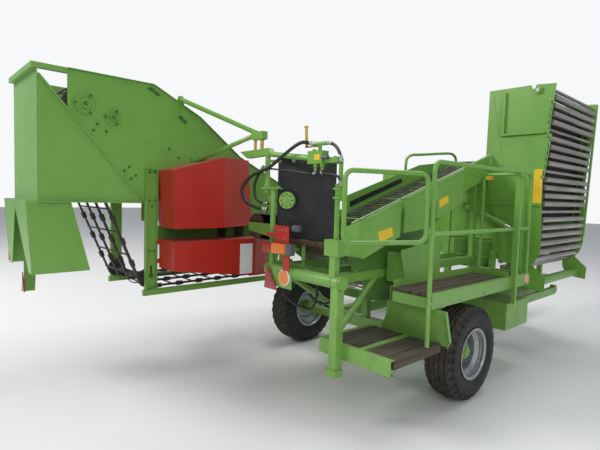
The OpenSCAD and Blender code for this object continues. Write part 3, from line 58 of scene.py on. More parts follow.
class Finish:
    """A node material with short helpers for patterns on Object coordinates."""

    def __init__(self, name):
        self.mat = bpy.data.materials.new(name)
        self.mat.use_nodes = True
        self.tree = self.mat.node_tree
        self.tree.nodes.clear()
        self.out = self.tree.nodes.new("ShaderNodeOutputMaterial")
        self.shader = self.tree.nodes.new("ShaderNodeBsdfPrincipled")
        self.link(self.shader.outputs["BSDF"], self.out.inputs["Surface"])
        self.coord = self.tree.nodes.new("ShaderNodeTexCoord").outputs["Object"]
        self.geometry = None

    def link(self, a, b):
        """Joins an output to an input."""
        self.tree.links.new(a, b)

    def put(self, socket, value):
        """Links a socket, or sets a plain value on it."""
        if isinstance(value, bpy.types.NodeSocket):
            self.link(value, socket)
        elif hasattr(socket.default_value, "__len__") and not hasattr(value, "__len__"):
            socket.default_value = (value, value, value, 1.0)
        elif hasattr(value, "__len__") and len(value) == 3 and len(socket.default_value) == 4:
            socket.default_value = (*value, 1.0)
        else:
            socket.default_value = value

    def scaled(self, scale, turn=(0, 0, 0), coord=None):
        """Object coordinates stretched by a scale on each axis."""
        node = self.tree.nodes.new("ShaderNodeMapping")
        self.link(coord or self.coord, node.inputs["Vector"])
        node.inputs["Scale"].default_value = scale
        node.inputs["Rotation"].default_value = turn
        return node.outputs["Vector"]

    def noise(self, scale, detail=4.0, rough=0.55, coord=None, warp=0.0):
        """Cloudy noise, about 0.3 to 0.7, finer with a larger scale."""
        node = self.tree.nodes.new("ShaderNodeTexNoise")
        self.link(coord or self.coord, node.inputs["Vector"])
        node.inputs["Scale"].default_value = scale
        node.inputs["Detail"].default_value = detail
        node.inputs["Roughness"].default_value = rough
        node.inputs["Distortion"].default_value = warp
        return node.outputs["Fac"]

    def cells(self, scale):
        """The distance to the nearest of many scattered points."""
        node = self.tree.nodes.new("ShaderNodeTexVoronoi")
        self.link(self.coord, node.inputs["Vector"])
        node.inputs["Scale"].default_value = scale
        return node.outputs["Distance"]

    def span(self, value, low, high, to_low=0.0, to_high=1.0):
        """A value mapped from low..high to to_low..to_high and held there."""
        node = self.tree.nodes.new("ShaderNodeMapRange")
        node.clamp = True
        self.put(node.inputs["Value"], value)
        for key, number in (("From Min", low), ("From Max", high), ("To Min", to_low), ("To Max", to_high)):
            node.inputs[key].default_value = number
        return node.outputs["Result"]

    def calc(self, kind, a, b=0.0):
        """One sum with two values, such as ADD or MULTIPLY."""
        node = self.tree.nodes.new("ShaderNodeMath")
        node.operation = kind
        self.put(node.inputs[0], a)
        self.put(node.inputs[1], b)
        return node.outputs[0]

    def mix(self, share, a, b):
        """The first colour where the share is 0, the second where it is 1."""
        node = self.tree.nodes.new("ShaderNodeMix")
        node.data_type = "RGBA"
        self.put(node.inputs[0], share)
        self.put(node.inputs[6], a)
        self.put(node.inputs[7], b)
        return node.outputs[2]

    def axis(self, letter):
        """One Object coordinate as a value."""
        node = self.tree.nodes.new("ShaderNodeSeparateXYZ")
        self.link(self.coord, node.inputs[0])
        return node.outputs[letter]

    def normal(self, letter):
        """One part of the surface's own direction."""
        if self.geometry is None:
            self.geometry = self.tree.nodes.new("ShaderNodeNewGeometry")
        node = self.tree.nodes.new("ShaderNodeSeparateXYZ")
        self.link(self.geometry.outputs["Normal"], node.inputs[0])
        return node.outputs[letter]

    def bump(self, *layers):
        """Stacks bump layers given as (height, strength, depth in metres)."""
        last = None
        for height, strength, depth in layers:
            node = self.tree.nodes.new("ShaderNodeBump")
            node.inputs["Strength"].default_value = strength
            node.inputs["Distance"].default_value = depth
            self.link(height, node.inputs["Height"])
            if last is not None:
                self.link(last, node.inputs["Normal"])
            last = node.outputs["Normal"]
        self.link(last, self.shader.inputs["Normal"])

    def done(self, color, rough, coat=0.0, specular=0.5):
        """Sets the main values and returns the material."""
        self.put(self.shader.inputs["Base Color"], color)
        self.put(self.shader.inputs["Roughness"], rough)
        self.shader.inputs["Coat Weight"].default_value = coat
        self.shader.inputs["Specular IOR Level"].default_value = specular
        return self.mat


SOIL = (0.155, 0.115, 0.075)
DUST = (0.33, 0.29, 0.22)


def paint(name, base, faded, deep, chips=0.5, soil_top=0.9, rough=0.36):
    """Old machine paint: broad fading, rain streaks, dust on top faces, soil low down, chips to dark
    metal."""
    f = Finish(name)
    broad = f.span(f.noise(0.9, 3.0), 0.38, 0.64)
    color = f.mix(broad, base, faded)
    blotch = f.span(f.noise(5.5, 6.0, 0.62), 0.52, 0.78, 0.0, 0.34)
    color = f.mix(blotch, color, deep)
    streak = f.span(f.noise(1.0, 5.0, 0.6, f.scaled((9.0, 9.0, 0.55))), 0.55, 0.8, 0.0, 0.30)
    upright = f.span(f.calc("ABSOLUTE", f.normal("Z")), 0.3, 0.6, 1.0, 0.0)
    color = f.mix(f.calc("MULTIPLY", streak, upright), color, faded)
    top = f.span(f.normal("Z"), 0.55, 0.95)
    settled = f.span(f.noise(11.0, 7.0, 0.7), 0.40, 0.72)
    on_top = f.calc("MULTIPLY", top, f.span(f.noise(3.0, 4.0), 0.35, 0.7, 0.05, 0.42))
    color = f.mix(on_top, color, DUST)
    low = f.span(f.axis("Z"), 0.1, soil_top, 0.55, 0.0)
    grime = f.calc("MULTIPLY", f.calc("ADD", low, 0.06), settled)
    color = f.mix(grime, color, SOIL)
    chip_field = f.noise(46.0, 5.0, 0.72)
    chip = f.span(chip_field, 0.735 - 0.01 * chips, 0.75 - 0.01 * chips, 0.0, 0.9 * chips)
    color = f.mix(chip, color, (0.085, 0.055, 0.04))
    roughness = f.calc("ADD", f.span(blotch, 0.0, 0.34, rough, rough + 0.1), f.calc("MULTIPLY", grime, 0.5))
    roughness = f.calc("ADD", roughness, f.calc("MULTIPLY", on_top, 0.5))
    f.bump((f.noise(2.6, 2.0), 0.22, 0.012), (f.noise(340.0, 2.0), 0.10, 0.0006), (chip, 0.25, -0.0006))
    return f.done(color, roughness, coat=0.12)


def worn_steel(name, bright, dark, rust, rusty=0.5, rough=0.45, metal=0.75, soil=0.3, along=(1, 1, 1)):
    """Steel worn by soil: streaks along the piece, rust in patches and dried soil."""
    f = Finish(name)
    streak = f.span(f.noise(26.0, 5.0, 0.6, f.scaled(along)), 0.35, 0.7)
    color = f.mix(streak, dark, bright)
    patch = f.span(f.noise(9.0, 7.0, 0.7), 0.62 - 0.2 * rusty, 0.72 - 0.12 * rusty)
    grain = f.span(f.noise(120.0, 4.0, 0.7), 0.3, 0.7)
    color = f.mix(f.calc("MULTIPLY", patch, f.span(grain, 0, 1, 0.55, 1.0)), color, rust)
    crust = f.span(f.noise(17.0, 8.0, 0.75), 0.66 - 0.2 * soil, 0.74 - 0.15 * soil, 0.0, 0.9)
    color = f.mix(crust, color, SOIL)
    roughness = f.calc("ADD", f.span(patch, 0, 1, rough, rough + 0.28), f.calc("MULTIPLY", crust, 0.2))
    f.bump((grain, 0.25, 0.001), (crust, 0.5, 0.002))
    mat = f.done(color, roughness)
    clean = f.calc("SUBTRACT", 1.0, f.calc("MAXIMUM", patch, crust))
    f.put(f.shader.inputs["Metallic"], f.calc("MULTIPLY", clean, metal))
    return mat


def rubber(name, base, scuff, rough=0.55, dusty=0.2, soil=0.0):
    """Black rubber with grey scuffs and dry dust."""
    f = Finish(name)
    color = f.mix(f.span(f.noise(3.0, 5.0, 0.6), 0.42, 0.75, 0.0, 0.6), base, scuff)
    dust = f.span(f.noise(14.0, 8.0, 0.72), 0.5, 0.75, 0.0, dusty)
    color = f.mix(dust, color, (0.22, 0.19, 0.15))
    if soil:
        clay = f.span(f.noise(24.0, 8.0, 0.75), 0.6 - 0.3 * soil, 0.78 - 0.2 * soil, 0.0, 0.85)
        color = f.mix(clay, color, (0.16, 0.125, 0.09))
    slanting = f.scaled((1.0, 1.0, 14.0), (0.5, 0.4, 0.3))
    scratch = f.span(f.noise(8.0, 3.0, 0.5, slanting, 0.4), 0.70, 0.74, 0.0, 0.35)
    color = f.mix(scratch, color, scuff)
    f.bump((f.noise(160.0, 4.0, 0.6), 0.18, 0.0008))
    return f.done(color, f.span(dust, 0.0, max(dusty, 0.01), rough, rough + 0.25))


def board_wood(name):
    """Grey weathered boards: grain along Y, dark splits, brown wear where feet tread."""
    f = Finish(name)
    grain_place = f.scaled((34.0, 1.4, 34.0))
    grain = f.noise(1.0, 9.0, 0.68, grain_place, 0.5)
    color = f.mix(f.span(grain, 0.34, 0.66), (0.026, 0.024, 0.019), (0.150, 0.138, 0.108))
    board = f.span(f.noise(1.0, 0.0, 0.5, f.scaled((11.0, 0.12, 0.0))), 0.36, 0.64, 0.0, 0.55)
    color = f.mix(board, color, (0.105, 0.082, 0.055))
    split = f.span(f.noise(1.0, 4.0, 0.5, f.scaled((120.0, 2.2, 120.0))), 0.66, 0.70, 0.0, 0.85)
    color = f.mix(split, color, (0.018, 0.014, 0.011))
    wear = f.span(f.noise(2.2, 5.0, 0.6), 0.45, 0.7, 0.0, 0.6)
    color = f.mix(wear, color, (0.105, 0.068, 0.043))
    clay = f.span(f.noise(19.0, 8.0, 0.75), 0.60, 0.72, 0.0, 0.55)
    color = f.mix(clay, color, (0.13, 0.105, 0.078))
    f.bump((grain, 0.55, 0.0025), (split, 0.6, -0.002))
    return f.done(color, 0.86, specular=0.25)


def lens(name, base, deep, rough=0.16):
    """Moulded lamp plastic with fine prism ribs and a little dirt."""
    f = Finish(name)
    ribs = f.calc("SINE", f.calc("MULTIPLY", f.axis("X"), 1250.0))
    color = f.mix(f.span(ribs, -1.0, 1.0, 0.0, 0.55), base, deep)
    dirt = f.span(f.noise(40.0, 6.0, 0.7), 0.55, 0.75, 0.0, 0.35)
    color = f.mix(dirt, color, (0.12, 0.08, 0.06))
    f.bump((ribs, 0.3, 0.0008))
    return f.done(color, f.span(dirt, 0, 0.35, rough, 0.5), coat=0.6)


def plate_face(name, base, edge, rough=0.4):
    """A blank printed plate: one colour, a little faded and dusty."""
    f = Finish(name)
    color = f.mix(f.span(f.noise(9.0, 5.0), 0.4, 0.75, 0.0, 0.4), base, edge)
    f.bump((f.noise(60.0, 2.0), 0.05, 0.0005))
    return f.done(color, rough)


def tyre_rubber(name):
    """Tyre rubber: black flanks, brown dried soil on the tread and in its grooves."""
    f = Finish(name)
    tread = f.tree.nodes.new("ShaderNodeAttribute")
    tread.attribute_name = "tread"
    on_tread = tread.outputs["Fac"]
    color = f.mix(f.span(f.noise(7.0, 5.0), 0.4, 0.7), (0.010, 0.010, 0.011), (0.027, 0.026, 0.025))
    clay = f.span(f.noise(21.0, 8.0, 0.75), 0.34, 0.66)
    share = f.calc("MULTIPLY", f.calc("ADD", f.calc("MULTIPLY", on_tread, 0.62), 0.06), clay)
    color = f.mix(share, color, (0.105, 0.082, 0.056))
    f.bump((f.noise(210.0, 4.0, 0.7), 0.3, 0.0008), (clay, 0.3, 0.002))
    return f.done(color, f.span(share, 0.0, 0.8, 0.5, 0.9), specular=0.35)


def rim_finish(name):
    """Galvanised rim with a spangle, and green paint within 77 mm of the axle's line."""
    f = Finish(name)
    spangle = f.cells(70.0)
    zinc = f.mix(f.span(spangle, 0.1, 0.7), (0.29, 0.30, 0.315), (0.45, 0.465, 0.48))
    stain = f.span(f.noise(12.0, 7.0, 0.7), 0.5, 0.72, 0.0, 0.6)
    zinc = f.mix(stain, zinc, (0.13, 0.115, 0.10))
    along = f.calc("POWER", f.calc("ADD", f.axis("Y"), -WORK_ORIGIN[1] / 1000.0), 2.0)
    up = f.calc("POWER", f.calc("SUBTRACT", f.axis("Z"), AXLE_Z / 1000.0), 2.0)
    away = f.calc("ADD", along, up)
    hub = f.span(away, 0.076 ** 2, 0.078 ** 2, 1.0, 0.0)
    green = f.mix(f.span(f.noise(18.0, 6.0, 0.7), 0.45, 0.7), (0.150, 0.365, 0.047), (0.09, 0.22, 0.04))
    color = f.mix(hub, zinc, green)
    f.bump((f.noise(90.0, 3.0), 0.12, 0.0008))
    mat = f.done(color, f.span(stain, 0.0, 0.6, 0.34, 0.62))
    f.put(f.shader.inputs["Metallic"], f.calc("MULTIPLY", f.calc("SUBTRACT", 1.0, hub), 0.62))
    return mat


GREEN = (0.150, 0.365, 0.047)
green_paint = paint("green_machine_paint", GREEN, (0.205, 0.415, 0.085), (0.090, 0.245, 0.032))
red_paint = paint("red_guard_paint", (0.46, 0.014, 0.009), (0.50, 0.028, 0.018), (0.26, 0.012, 0.008), 0.4)
# Painted highlight: a pale green for the lip along the table's right edge, where light catches it
painted_highlight_green = paint("lip_green_painted_highlight", (0.33, 0.50, 0.22), (0.45, 0.60, 0.36), (0.20, 0.38, 0.11), 0.9)
# Painted shade: a darker copy of the green paint, for sheets that stand in the shade
deep_green = paint("shaded_green_paint", (0.070, 0.190, 0.026), (0.095, 0.225, 0.040), (0.040, 0.110, 0.018))
ochre_paint = paint("ochre_lever_paint", (0.52, 0.30, 0.020), (0.60, 0.38, 0.06), (0.30, 0.16, 0.02), 0.6)

web_steel = worn_steel("soil_worn_web", (0.17, 0.15, 0.13), (0.055, 0.043, 0.034), (0.085, 0.040, 0.020),
                       0.6, 0.5, 0.5, 0.35)
rusty_web = worn_steel("rusty_finger_web", (0.20, 0.14, 0.10), (0.085, 0.052, 0.034), (0.14, 0.060, 0.026),
                       0.8, 0.6, 0.3, 0.3)
table_steel = worn_steel("green_grey_web", (0.20, 0.22, 0.15), (0.060, 0.070, 0.042), (0.075, 0.060, 0.035),
                         0.3, 0.5, 0.4, 0.2)
haulm_steel = worn_steel("dark_haulm_web", (0.075, 0.066, 0.058), (0.025, 0.021, 0.018),
                         (0.050, 0.028, 0.016), 0.5, 0.5, 0.4, 0.2)
slat_zinc = worn_steel("slat_zinc", (0.56, 0.54, 0.50), (0.27, 0.245, 0.215), (0.15, 0.09, 0.055),
                       0.10, 0.30, 0.8, 0.12, (1, 0.05, 1))
plain_steel = worn_steel("digging_steel", (0.52, 0.51, 0.49), (0.26, 0.24, 0.22), (0.18, 0.085, 0.04),
                         0.25, 0.36, 0.85, 0.3)
chrome = worn_steel("rod_chrome", (0.78, 0.78, 0.79), (0.62, 0.62, 0.63), (0.3, 0.25, 0.2),
                    0.0, 0.12, 1.0, 0.0)
zinc_bolt = worn_steel("zinc_bolts", (0.60, 0.60, 0.58), (0.32, 0.31, 0.29), (0.18, 0.10, 0.05),
                       0.1, 0.34, 0.8, 0.1)
# Painted shade: green-painted bolts in a darker green than the frame's paint; the streaks, rust and soil on
# them are wear
dull_bolt = worn_steel("green_bolts_with_painted_shade", (0.095, 0.235, 0.045), (0.045, 0.105, 0.026), (0.05, 0.045, 0.025),
                       0.25, 0.45, 0.15, 0.15)

# Black rubber for hoses, screws and stems; the same black on slots is painted shade
dark_rubber_and_slot_shade = rubber("hoses_and_slot_shade", (0.012, 0.012, 0.013), (0.035, 0.035, 0.037), 0.42, 0.12)
curtain_rubber = rubber("curtain_rubber", (0.010, 0.0105, 0.011), (0.028, 0.028, 0.029), 0.5, 0.16)
lamp_shell = rubber("lamp_shell", (0.08, 0.085, 0.095), (0.14, 0.14, 0.15), 0.4, 0.2)
tread_rubber = tyre_rubber("tyre_rubber")
grey_boards = board_wood("grey_boards")
rim_zinc = rim_finish("rim_zinc")
lamp_red = lens("lamp_red", (0.42, 0.010, 0.008), (0.20, 0.004, 0.004))
lamp_amber = lens("lamp_amber", (0.85, 0.20, 0.010), (0.60, 0.10, 0.006))
reflector_amber = lens("reflector_amber", (0.90, 0.24, 0.015), (0.75, 0.15, 0.010))
white_plate = plate_face("blank_white_plate", (0.80, 0.80, 0.78), (0.66, 0.64, 0.60))
yellow_plate = plate_face("blank_yellow_plate", (0.84, 0.55, 0.02), (0.70, 0.45, 0.05))

# Finish of each CAD node; the ones not named here are green
NODE_FINISH = {
    "guard_upper": red_paint, "guard_lower": red_paint, "rear_lights": red_paint,
    "second_web": web_steel, "digging_web": web_steel, "cross_web": web_steel, "haulm_web": haulm_steel,
    "sorting_web": table_steel, "floor_web": slat_zinc, "arm_web": slat_zinc,
    "share": plain_steel, "disc_left": plain_steel, "disc_right": plain_steel, "ridge_roller": plain_steel,
    "jack": plain_steel, "cylinder_rod": chrome, "rubber_curtain": curtain_rubber, "hoses": dark_rubber_and_slot_shade,
    "tyre_left": tread_rubber, "tyre_right": tread_rubber, "wheel_left": rim_zinc, "wheel_right": rim_zinc,
    "boards": grey_boards,
}
for name, obj in nodes.items():
    finish = NODE_FINISH.get(name, green_paint)
    if len(obj.material_slots) == 0:
        obj.data.materials.append(finish)
    for slot in obj.material_slots:
        slot.material = finish


# Mesh helpers

def new_piece(name, points, faces, finish, smooth=False):
    """A mesh object at the origin from an array of points and a list of faces."""
    mesh = bpy.data.meshes.new(name)
    mesh.from_pydata(np.asarray(points, dtype=float).tolist(), [], [list(map(int, face)) for face in faces])
    mesh.materials.append(finish)
    mesh.polygons.foreach_set("use_smooth", np.full(len(mesh.polygons), smooth))
    mesh.update()
    obj = bpy.data.objects.new(name, mesh)
    bpy.context.collection.objects.link(obj)
    return obj


def grid_faces(rows, columns, wrap_rows=False, wrap_columns=False):
    """Four-sided faces of a grid of points, rows by columns, closed round where asked."""
    r = np.arange(rows if wrap_rows else rows - 1)
    c = np.arange(columns if wrap_columns else columns - 1)
    a, b = np.meshgrid(r, c, indexing="ij")
    nr, nc = (a + 1) % rows, (b + 1) % columns
    corners = [a * columns + b, nr * columns + b, nr * columns + nc, a * columns + nc]
    return np.stack(corners, axis=-1).reshape(-1, 4)


def outward_flip(points, faces):
    """True where the faces of a closed ring surface point inwards, by the sign of its volume."""
    p = points.reshape(-1, 3)
    p = p - p.mean(axis=0)
    a, b, c, d = (p[faces[:, k]] for k in range(4))
    volume = np.einsum("ij,ij->i", a, np.cross(b, c)).sum() + np.einsum("ij,ij->i", a, np.cross(c, d)).sum()
    return volume < 0


class Batch:
    """Collects many small closed shapes into one mesh."""

    def __init__(self):
        self.points = []
        self.faces = []
        self.count = 0

    def add(self, points, faces):
        """Adds one shape, its faces counted from its own first point."""
        self.points.append(np.asarray(points, dtype=float))
        self.faces.extend([[int(i) + self.count for i in face] for face in faces])
        self.count += len(points)

    def piece(self, name, finish, body, slot, smooth=False):
        """Makes one object of what was collected, from working millimetres to metres."""
        obj = new_piece(name, place(np.concatenate(self.points)), self.faces, finish, smooth)
        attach(obj, body)
        return obj


def basis(direction):
    """A direction's unit vector, and two more square to it."""
    d = np.asarray(direction, dtype=float)
    d = d / np.linalg.norm(d)
    guess = np.array([0.0, 0.0, 1.0]) if abs(d[2]) < 0.9 else np.array([1.0, 0.0, 0.0])
    u = np.cross(guess, d)
    u /= np.linalg.norm(u)
    return d, u, np.cross(d, u)


def prism(center, direction, radius, height, sides, turn=0.0, top=None):
    """A closed prism: each ring is the radius times (cos t, sin t) across the direction, and the rings lie
    the height apart. The far ring's radius may differ."""
    d, u, v = basis(direction)
    t = turn + np.arange(sides) * 2 * math.pi / sides
    ring = np.outer(np.cos(t), u) + np.outer(np.sin(t), v)
    low = np.asarray(center) + radius * ring
    high = np.asarray(center) + (top if top is not None else radius) * ring + height * d
    faces = [[k, (k + 1) % sides, sides + (k + 1) % sides, sides + k] for k in range(sides)]
    faces.append(list(range(sides))[::-1])
    faces.append(list(range(sides, 2 * sides)))
    return np.concatenate([low, high]), faces


def bolt(batch, at, direction, size=12.0, stud=True, turn=0.3):
    """A washer, a hexagon head and the stud's end."""
    at = np.asarray(at, dtype=float)
    d = np.asarray(direction, dtype=float)
    d = d / np.linalg.norm(d)
    batch.add(*prism(at, d, size * 1.25, size * 0.22, 14))
    batch.add(*prism(at + d * size * 0.2, d, size * 0.95, size * 0.75, 6, turn, size * 0.92))
    if stud:
        batch.add(*prism(at + d * size * 0.9, d, size * 0.5, size * 0.55, 8, 0, size * 0.42))


def tube(points, radius, sides=12):
    """A closed tube: circles of the radius carried along a path, each square to the path's own direction."""
    p = np.asarray(points, dtype=float)
    step = np.gradient(p, axis=0)
    step /= np.linalg.norm(step, axis=1)[:, None]
    guess = np.array([0.31, 0.27, 0.91])
    u = np.cross(step, guess)
    u /= np.linalg.norm(u, axis=1)[:, None]
    v = np.cross(step, u)
    t = (np.arange(sides) * 2 * math.pi / sides)[None, :, None]
    r = np.broadcast_to(np.asarray(radius, dtype=float), (len(p),))[:, None, None]
    rings = p[:, None, :] + r * (np.cos(t) * u[:, None, :] + np.sin(t) * v[:, None, :])
    faces = grid_faces(len(p), sides, wrap_columns=True)[:, ::-1].tolist()
    last = (len(p) - 1) * sides
    faces.append(list(range(sides)))
    faces.append([last + k for k in range(sides)][::-1])
    return rings.reshape(-1, 3), faces


def curve_through(points, steps=10):
    """A smooth line through points: on each span a cubic whose slope at a point is half the way between the
    point's neighbours."""
    p = np.asarray(points, dtype=float)
    q = np.vstack([p[:1], p, p[-1:]])
    t = (np.arange(steps) / steps)[:, None]
    spans = []
    for i in range(len(p) - 1):
        before, start, end, after = q[i:i + 4]
        bend = (2 * before - 5 * start + 4 * end - after) * t ** 2
        twist = (3 * start - before - 3 * end + after) * t ** 3
        spans.append(0.5 * (2 * start + (end - before) * t + bend + twist))
    return np.vstack(spans + [p[-1:]])


# Corners of a box as picks of low (0) or high (1) on each axis
CORNERS = np.array(list(np.ndindex(2, 2, 2)))
SQUARE = ((0, 0), (1, 0), (1, 1), (0, 1))


def cut_box_faces():
    """Faces of a box with its edges cut back: six sides with four edges round each axis, then eight
    corners. A point's number is three times its corner's number, plus the axis that its side is square
    to."""
    def point(corner, axis):
        return int(3 * (4 * corner[0] + 2 * corner[1] + corner[2]) + axis)

    faces = []
    for axis, (a, b) in enumerate(((1, 2), (2, 0), (0, 1))):
        low, high = [0, 0, 0], [0, 0, 0]
        high[axis] = 1
        for side in (low, high):
            ring = []
            for i, j in SQUARE:
                side[a], side[b] = i, j
                ring.append(point(side, axis))
            faces.append(ring if side[axis] else ring[::-1])
        for i, j in SQUARE:
            low[a] = high[a] = i
            low[b] = high[b] = j
            ring = [point(low, a), point(high, a), point(high, b), point(low, b)]
            faces.append(ring if i == j else ring[::-1])
    for corner in CORNERS:
        ring = [point(corner, axis) for axis in range(3)]
        faces.append(ring if corner.sum() % 2 else ring[::-1])
    return faces


SLAB_FACES = cut_box_faces()


def slab(low, high, bevel=1.5):
    """A box with its edges cut back by a small bevel: each corner becomes three points, one on each side
    there."""
    low, high = np.asarray(low, dtype=float), np.asarray(high, dtype=float)
    low, high = np.minimum(low, high), np.maximum(low, high)
    bevel = min(bevel, 0.3 * float((high - low).min()))
    outer = np.where(CORNERS == 1, high, low)
    inner = outer + np.where(CORNERS == 1, -bevel, bevel)
    points = np.repeat(inner[:, None, :], 3, axis=1)
    axes = np.arange(3)
    points[:, axes, axes] = outer
    return points.reshape(-1, 3), SLAB_FACES


def plate(points, direction, thick):
    """A flat sheet: an outline and its copy moved along a direction, joined by walls."""
    p = np.asarray(points, dtype=float)
    d = np.asarray(direction, dtype=float)
    d = d / np.linalg.norm(d)
    n = len(p)
    area = sum(np.cross(p[i] - p[0], p[i + 1] - p[0]) for i in range(1, n - 1))
    if np.dot(area, d) < 0:
        p = p[::-1]
    faces = [list(range(n))[::-1], list(range(n, 2 * n))]
    faces += [[k, (k + 1) % n, n + (k + 1) % n, n + k] for k in range(n)]
    return np.concatenate([p, p + thick * d]), faces


# Places that several pieces share, in working millimetres

TYRE_X = 965.0
# Outer faces of the digging channel: word, X, side
CHANNEL_SIDES = (("right", -1150.0, 1), ("left", -1950.0, -1))
# Bearings of the channel: middle as (Y, Z), radius
BEARINGS = (((-2320, 2330), 85), ((-2100, 2250), 65))
TABLE_LEFT = (120, 125)
TABLE_RIGHT = (500, 505)
TABLE_REAR = -900
TABLE_FRONT = 1330
TABLE_DEPTH = 240
CHUTE_X = 700
# Chutes: rear and front Y, upper edge at both, lower edge at both
CHUTES = ((-985, -550, 1485, 1625, 1200, 1345), (-500, -150, 1640, 1750, 1370, 1400),
          (-30, 400, 1790, 1920, 1480, 1610))
CROSS_Y = -1130
LAMP_Y = -1180
SIDE_BEAM_X = 1050
PLATFORM_REAR = -620
PLATFORM_FRONT = 1140
PLATFORM_Z = (840, 950)
STEP_REAR = -1094
STEP_FRONT = -460
STEP_Z = (455, 565)
STEP_BAR_X = (742.0, 788.0)
BUNKER_Y = 1362
ARM_Y = 1350
CURTAIN_START = np.array([-150.0, -1105.0, 0.0])
CURTAIN_TURN = math.radians(22)
CURTAIN_ALONG = np.array([math.cos(CURTAIN_TURN), math.sin(CURTAIN_TURN), 0.0])
CURTAIN_OUT = np.array([math.sin(CURTAIN_TURN), -math.cos(CURTAIN_TURN), 0.0])
MOTOR_U = 105
MOTOR_Z = 1600


def table_top(y):
    """Height of the sorting table's right edge at a place along the machine."""
    return 1435.0 + 0.315 * (y - TABLE_REAR)


def on_curtain(u, z, out=0.0):
    """A point u along the curtain, at the height z, and out to the rear of the curtain's plane."""
    return CURTAIN_START + u * CURTAIN_ALONG + out * CURTAIN_OUT + (0, 0, z)


def circle(center, radius, axis, count=40):
    """Points round a circle square to the X axis (0) or to the Z axis (2)."""
    t = np.linspace(0, 2 * math.pi, count, endpoint=False)
    first, second = (1, 2) if axis == 0 else (0, 1)
    points = np.tile(np.asarray(center, dtype=float), (count, 1))
    points[:, first] += radius * np.cos(t)
    points[:, second] += radius * np.sin(t)
    return points


# Tyres

TYRE_HALF = 0.132
TYRE_TOP = 0.390
BEAD = 0.1943
CROWN_FROM, CROWN_TO = 4, 16
LUGS = 30
RIBS = (-0.066, -0.022, 0.022, 0.066)


def tyre_section():
    """The closed section as (radius, place across): one outer half and its mirror image, then the inside
    likewise."""
    half, top, bead = TYRE_HALF, TYRE_TOP, BEAD
    outer = np.array([
        [bead, -0.106], [bead + 0.020, -0.110], [bead + 0.050, -half + 0.006], [bead + 0.095, -half],
        [top - 0.062, -half + 0.002], [top - 0.040, -half + 0.008], [top - 0.020, -half + 0.020],
        [top - 0.008, -half + 0.030], [top - 0.0025, -0.080], [top, -0.050]])
    inner = np.array([
        [bead, 0.084], [bead + 0.040, half - 0.028],
        [top - 0.060, half - 0.024], [top - 0.032, half - 0.050]])
    mirror = np.array([1.0, -1.0])
    crown, under = [[top, 0.0]], [[top - 0.026, 0.0]]
    return np.vstack([outer, crown, outer[::-1] * mirror, inner, under, inner[::-1] * mirror])


def tread_cut(radius, across, angle, outside):
    """Depth cut into the tread: zigzag grooves whose places swing with a triangle wave of the angle, slots
    in both shoulders and fine cuts between the grooves."""
    lugs = angle * LUGS / (2 * math.pi)
    wave = np.abs((lugs % 1.0) * 2 - 1) * 2 - 1
    groove = np.zeros_like(angle)
    for k, middle in enumerate(RIBS):
        swing = middle + 0.0075 * wave * (1 if k % 2 else -1)
        groove = np.maximum(groove, np.clip((0.0078 - np.abs(across - swing)) / 0.0024, 0, 1))
    lug = np.abs(((lugs + 0.25) % 1.0) - 0.5) * 2
    shoulder = np.clip((np.abs(across) - 0.088) / 0.006, 0, 1) * np.clip((lug - 0.60) / 0.10, 0, 1)
    flank = np.clip((radius - (TYRE_TOP - 0.058)) / 0.012, 0, 1)
    cut = np.where(outside, np.maximum(groove * 0.013, shoulder * flank * 0.020), 0.0)
    pitch = angle * 2 * LUGS / (2 * math.pi)
    fine = np.clip((np.abs((pitch % 1.0) - 0.5) - 0.46) / 0.02, 0, 1) * (np.abs(across) < 0.08)
    return np.where(outside, np.maximum(cut, fine * 0.004), cut)


def tyre(name, side, body):
    """A tyre as a surface of two parameters: the first runs along the section, the second round the wheel.
    Radius and place across come from the section, less the tread's cut."""
    section = tyre_section()
    ends = np.vstack([section, section[:1]])
    length = np.concatenate([[0], np.cumsum(np.linalg.norm(np.diff(ends, axis=0), axis=1))])
    crown = np.interp(np.linspace(0, 1, 92), [0, 1], [length[CROWN_FROM], length[CROWN_TO]])
    rest = np.concatenate([length[:CROWN_FROM], length[CROWN_TO + 1:len(section)]])
    s = np.sort(np.concatenate([crown, rest]))
    around = 360
    t = np.arange(around) * 2 * math.pi / around
    r, a = np.interp(s, length, ends[:, 0])[None, :], np.interp(s, length, ends[:, 1])[None, :]
    angle = np.broadcast_to(t[:, None], (around, len(s)))
    run = np.broadcast_to(s[None, :], r.shape)
    outside = (run > length[CROWN_FROM]) & (run < length[CROWN_TO])
    cut = tread_cut(r, a, angle, outside)
    away = np.clip((np.abs(a) - 0.11) / 0.02, 0, 1)
    r = r - cut * (1 - 0.55 * away)
    a = a - np.sign(a) * cut * away * 0.8
    middle = place((side * TYRE_X, 0.0, AXLE_Z))
    points = np.stack([middle[0] + a, middle[1] + r * np.cos(angle), middle[2] + r * np.sin(angle)], axis=-1)
    faces = grid_faces(around, len(s), True, True)
    if outward_flip(points, faces):
        faces = faces[:, ::-1]
    obj = new_piece(name, points.reshape(-1, 3), faces, tread_rubber, True)
    weight = np.clip((np.abs(r) - (TYRE_TOP - 0.03)) / 0.016, 0, 1) * outside
    mark = obj.data.attributes.new("tread", "FLOAT", "POINT")
    mark.data.foreach_set("value", weight.reshape(-1).astype(np.float32))
    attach(obj, body)
    return obj


for side, word in ((-1, "left"), (1, "right")):
    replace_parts(tyre(f"tread_{word}", side, f"wheel_{word}"), f"tyre_{word}")


# Boards, platform, step and riser

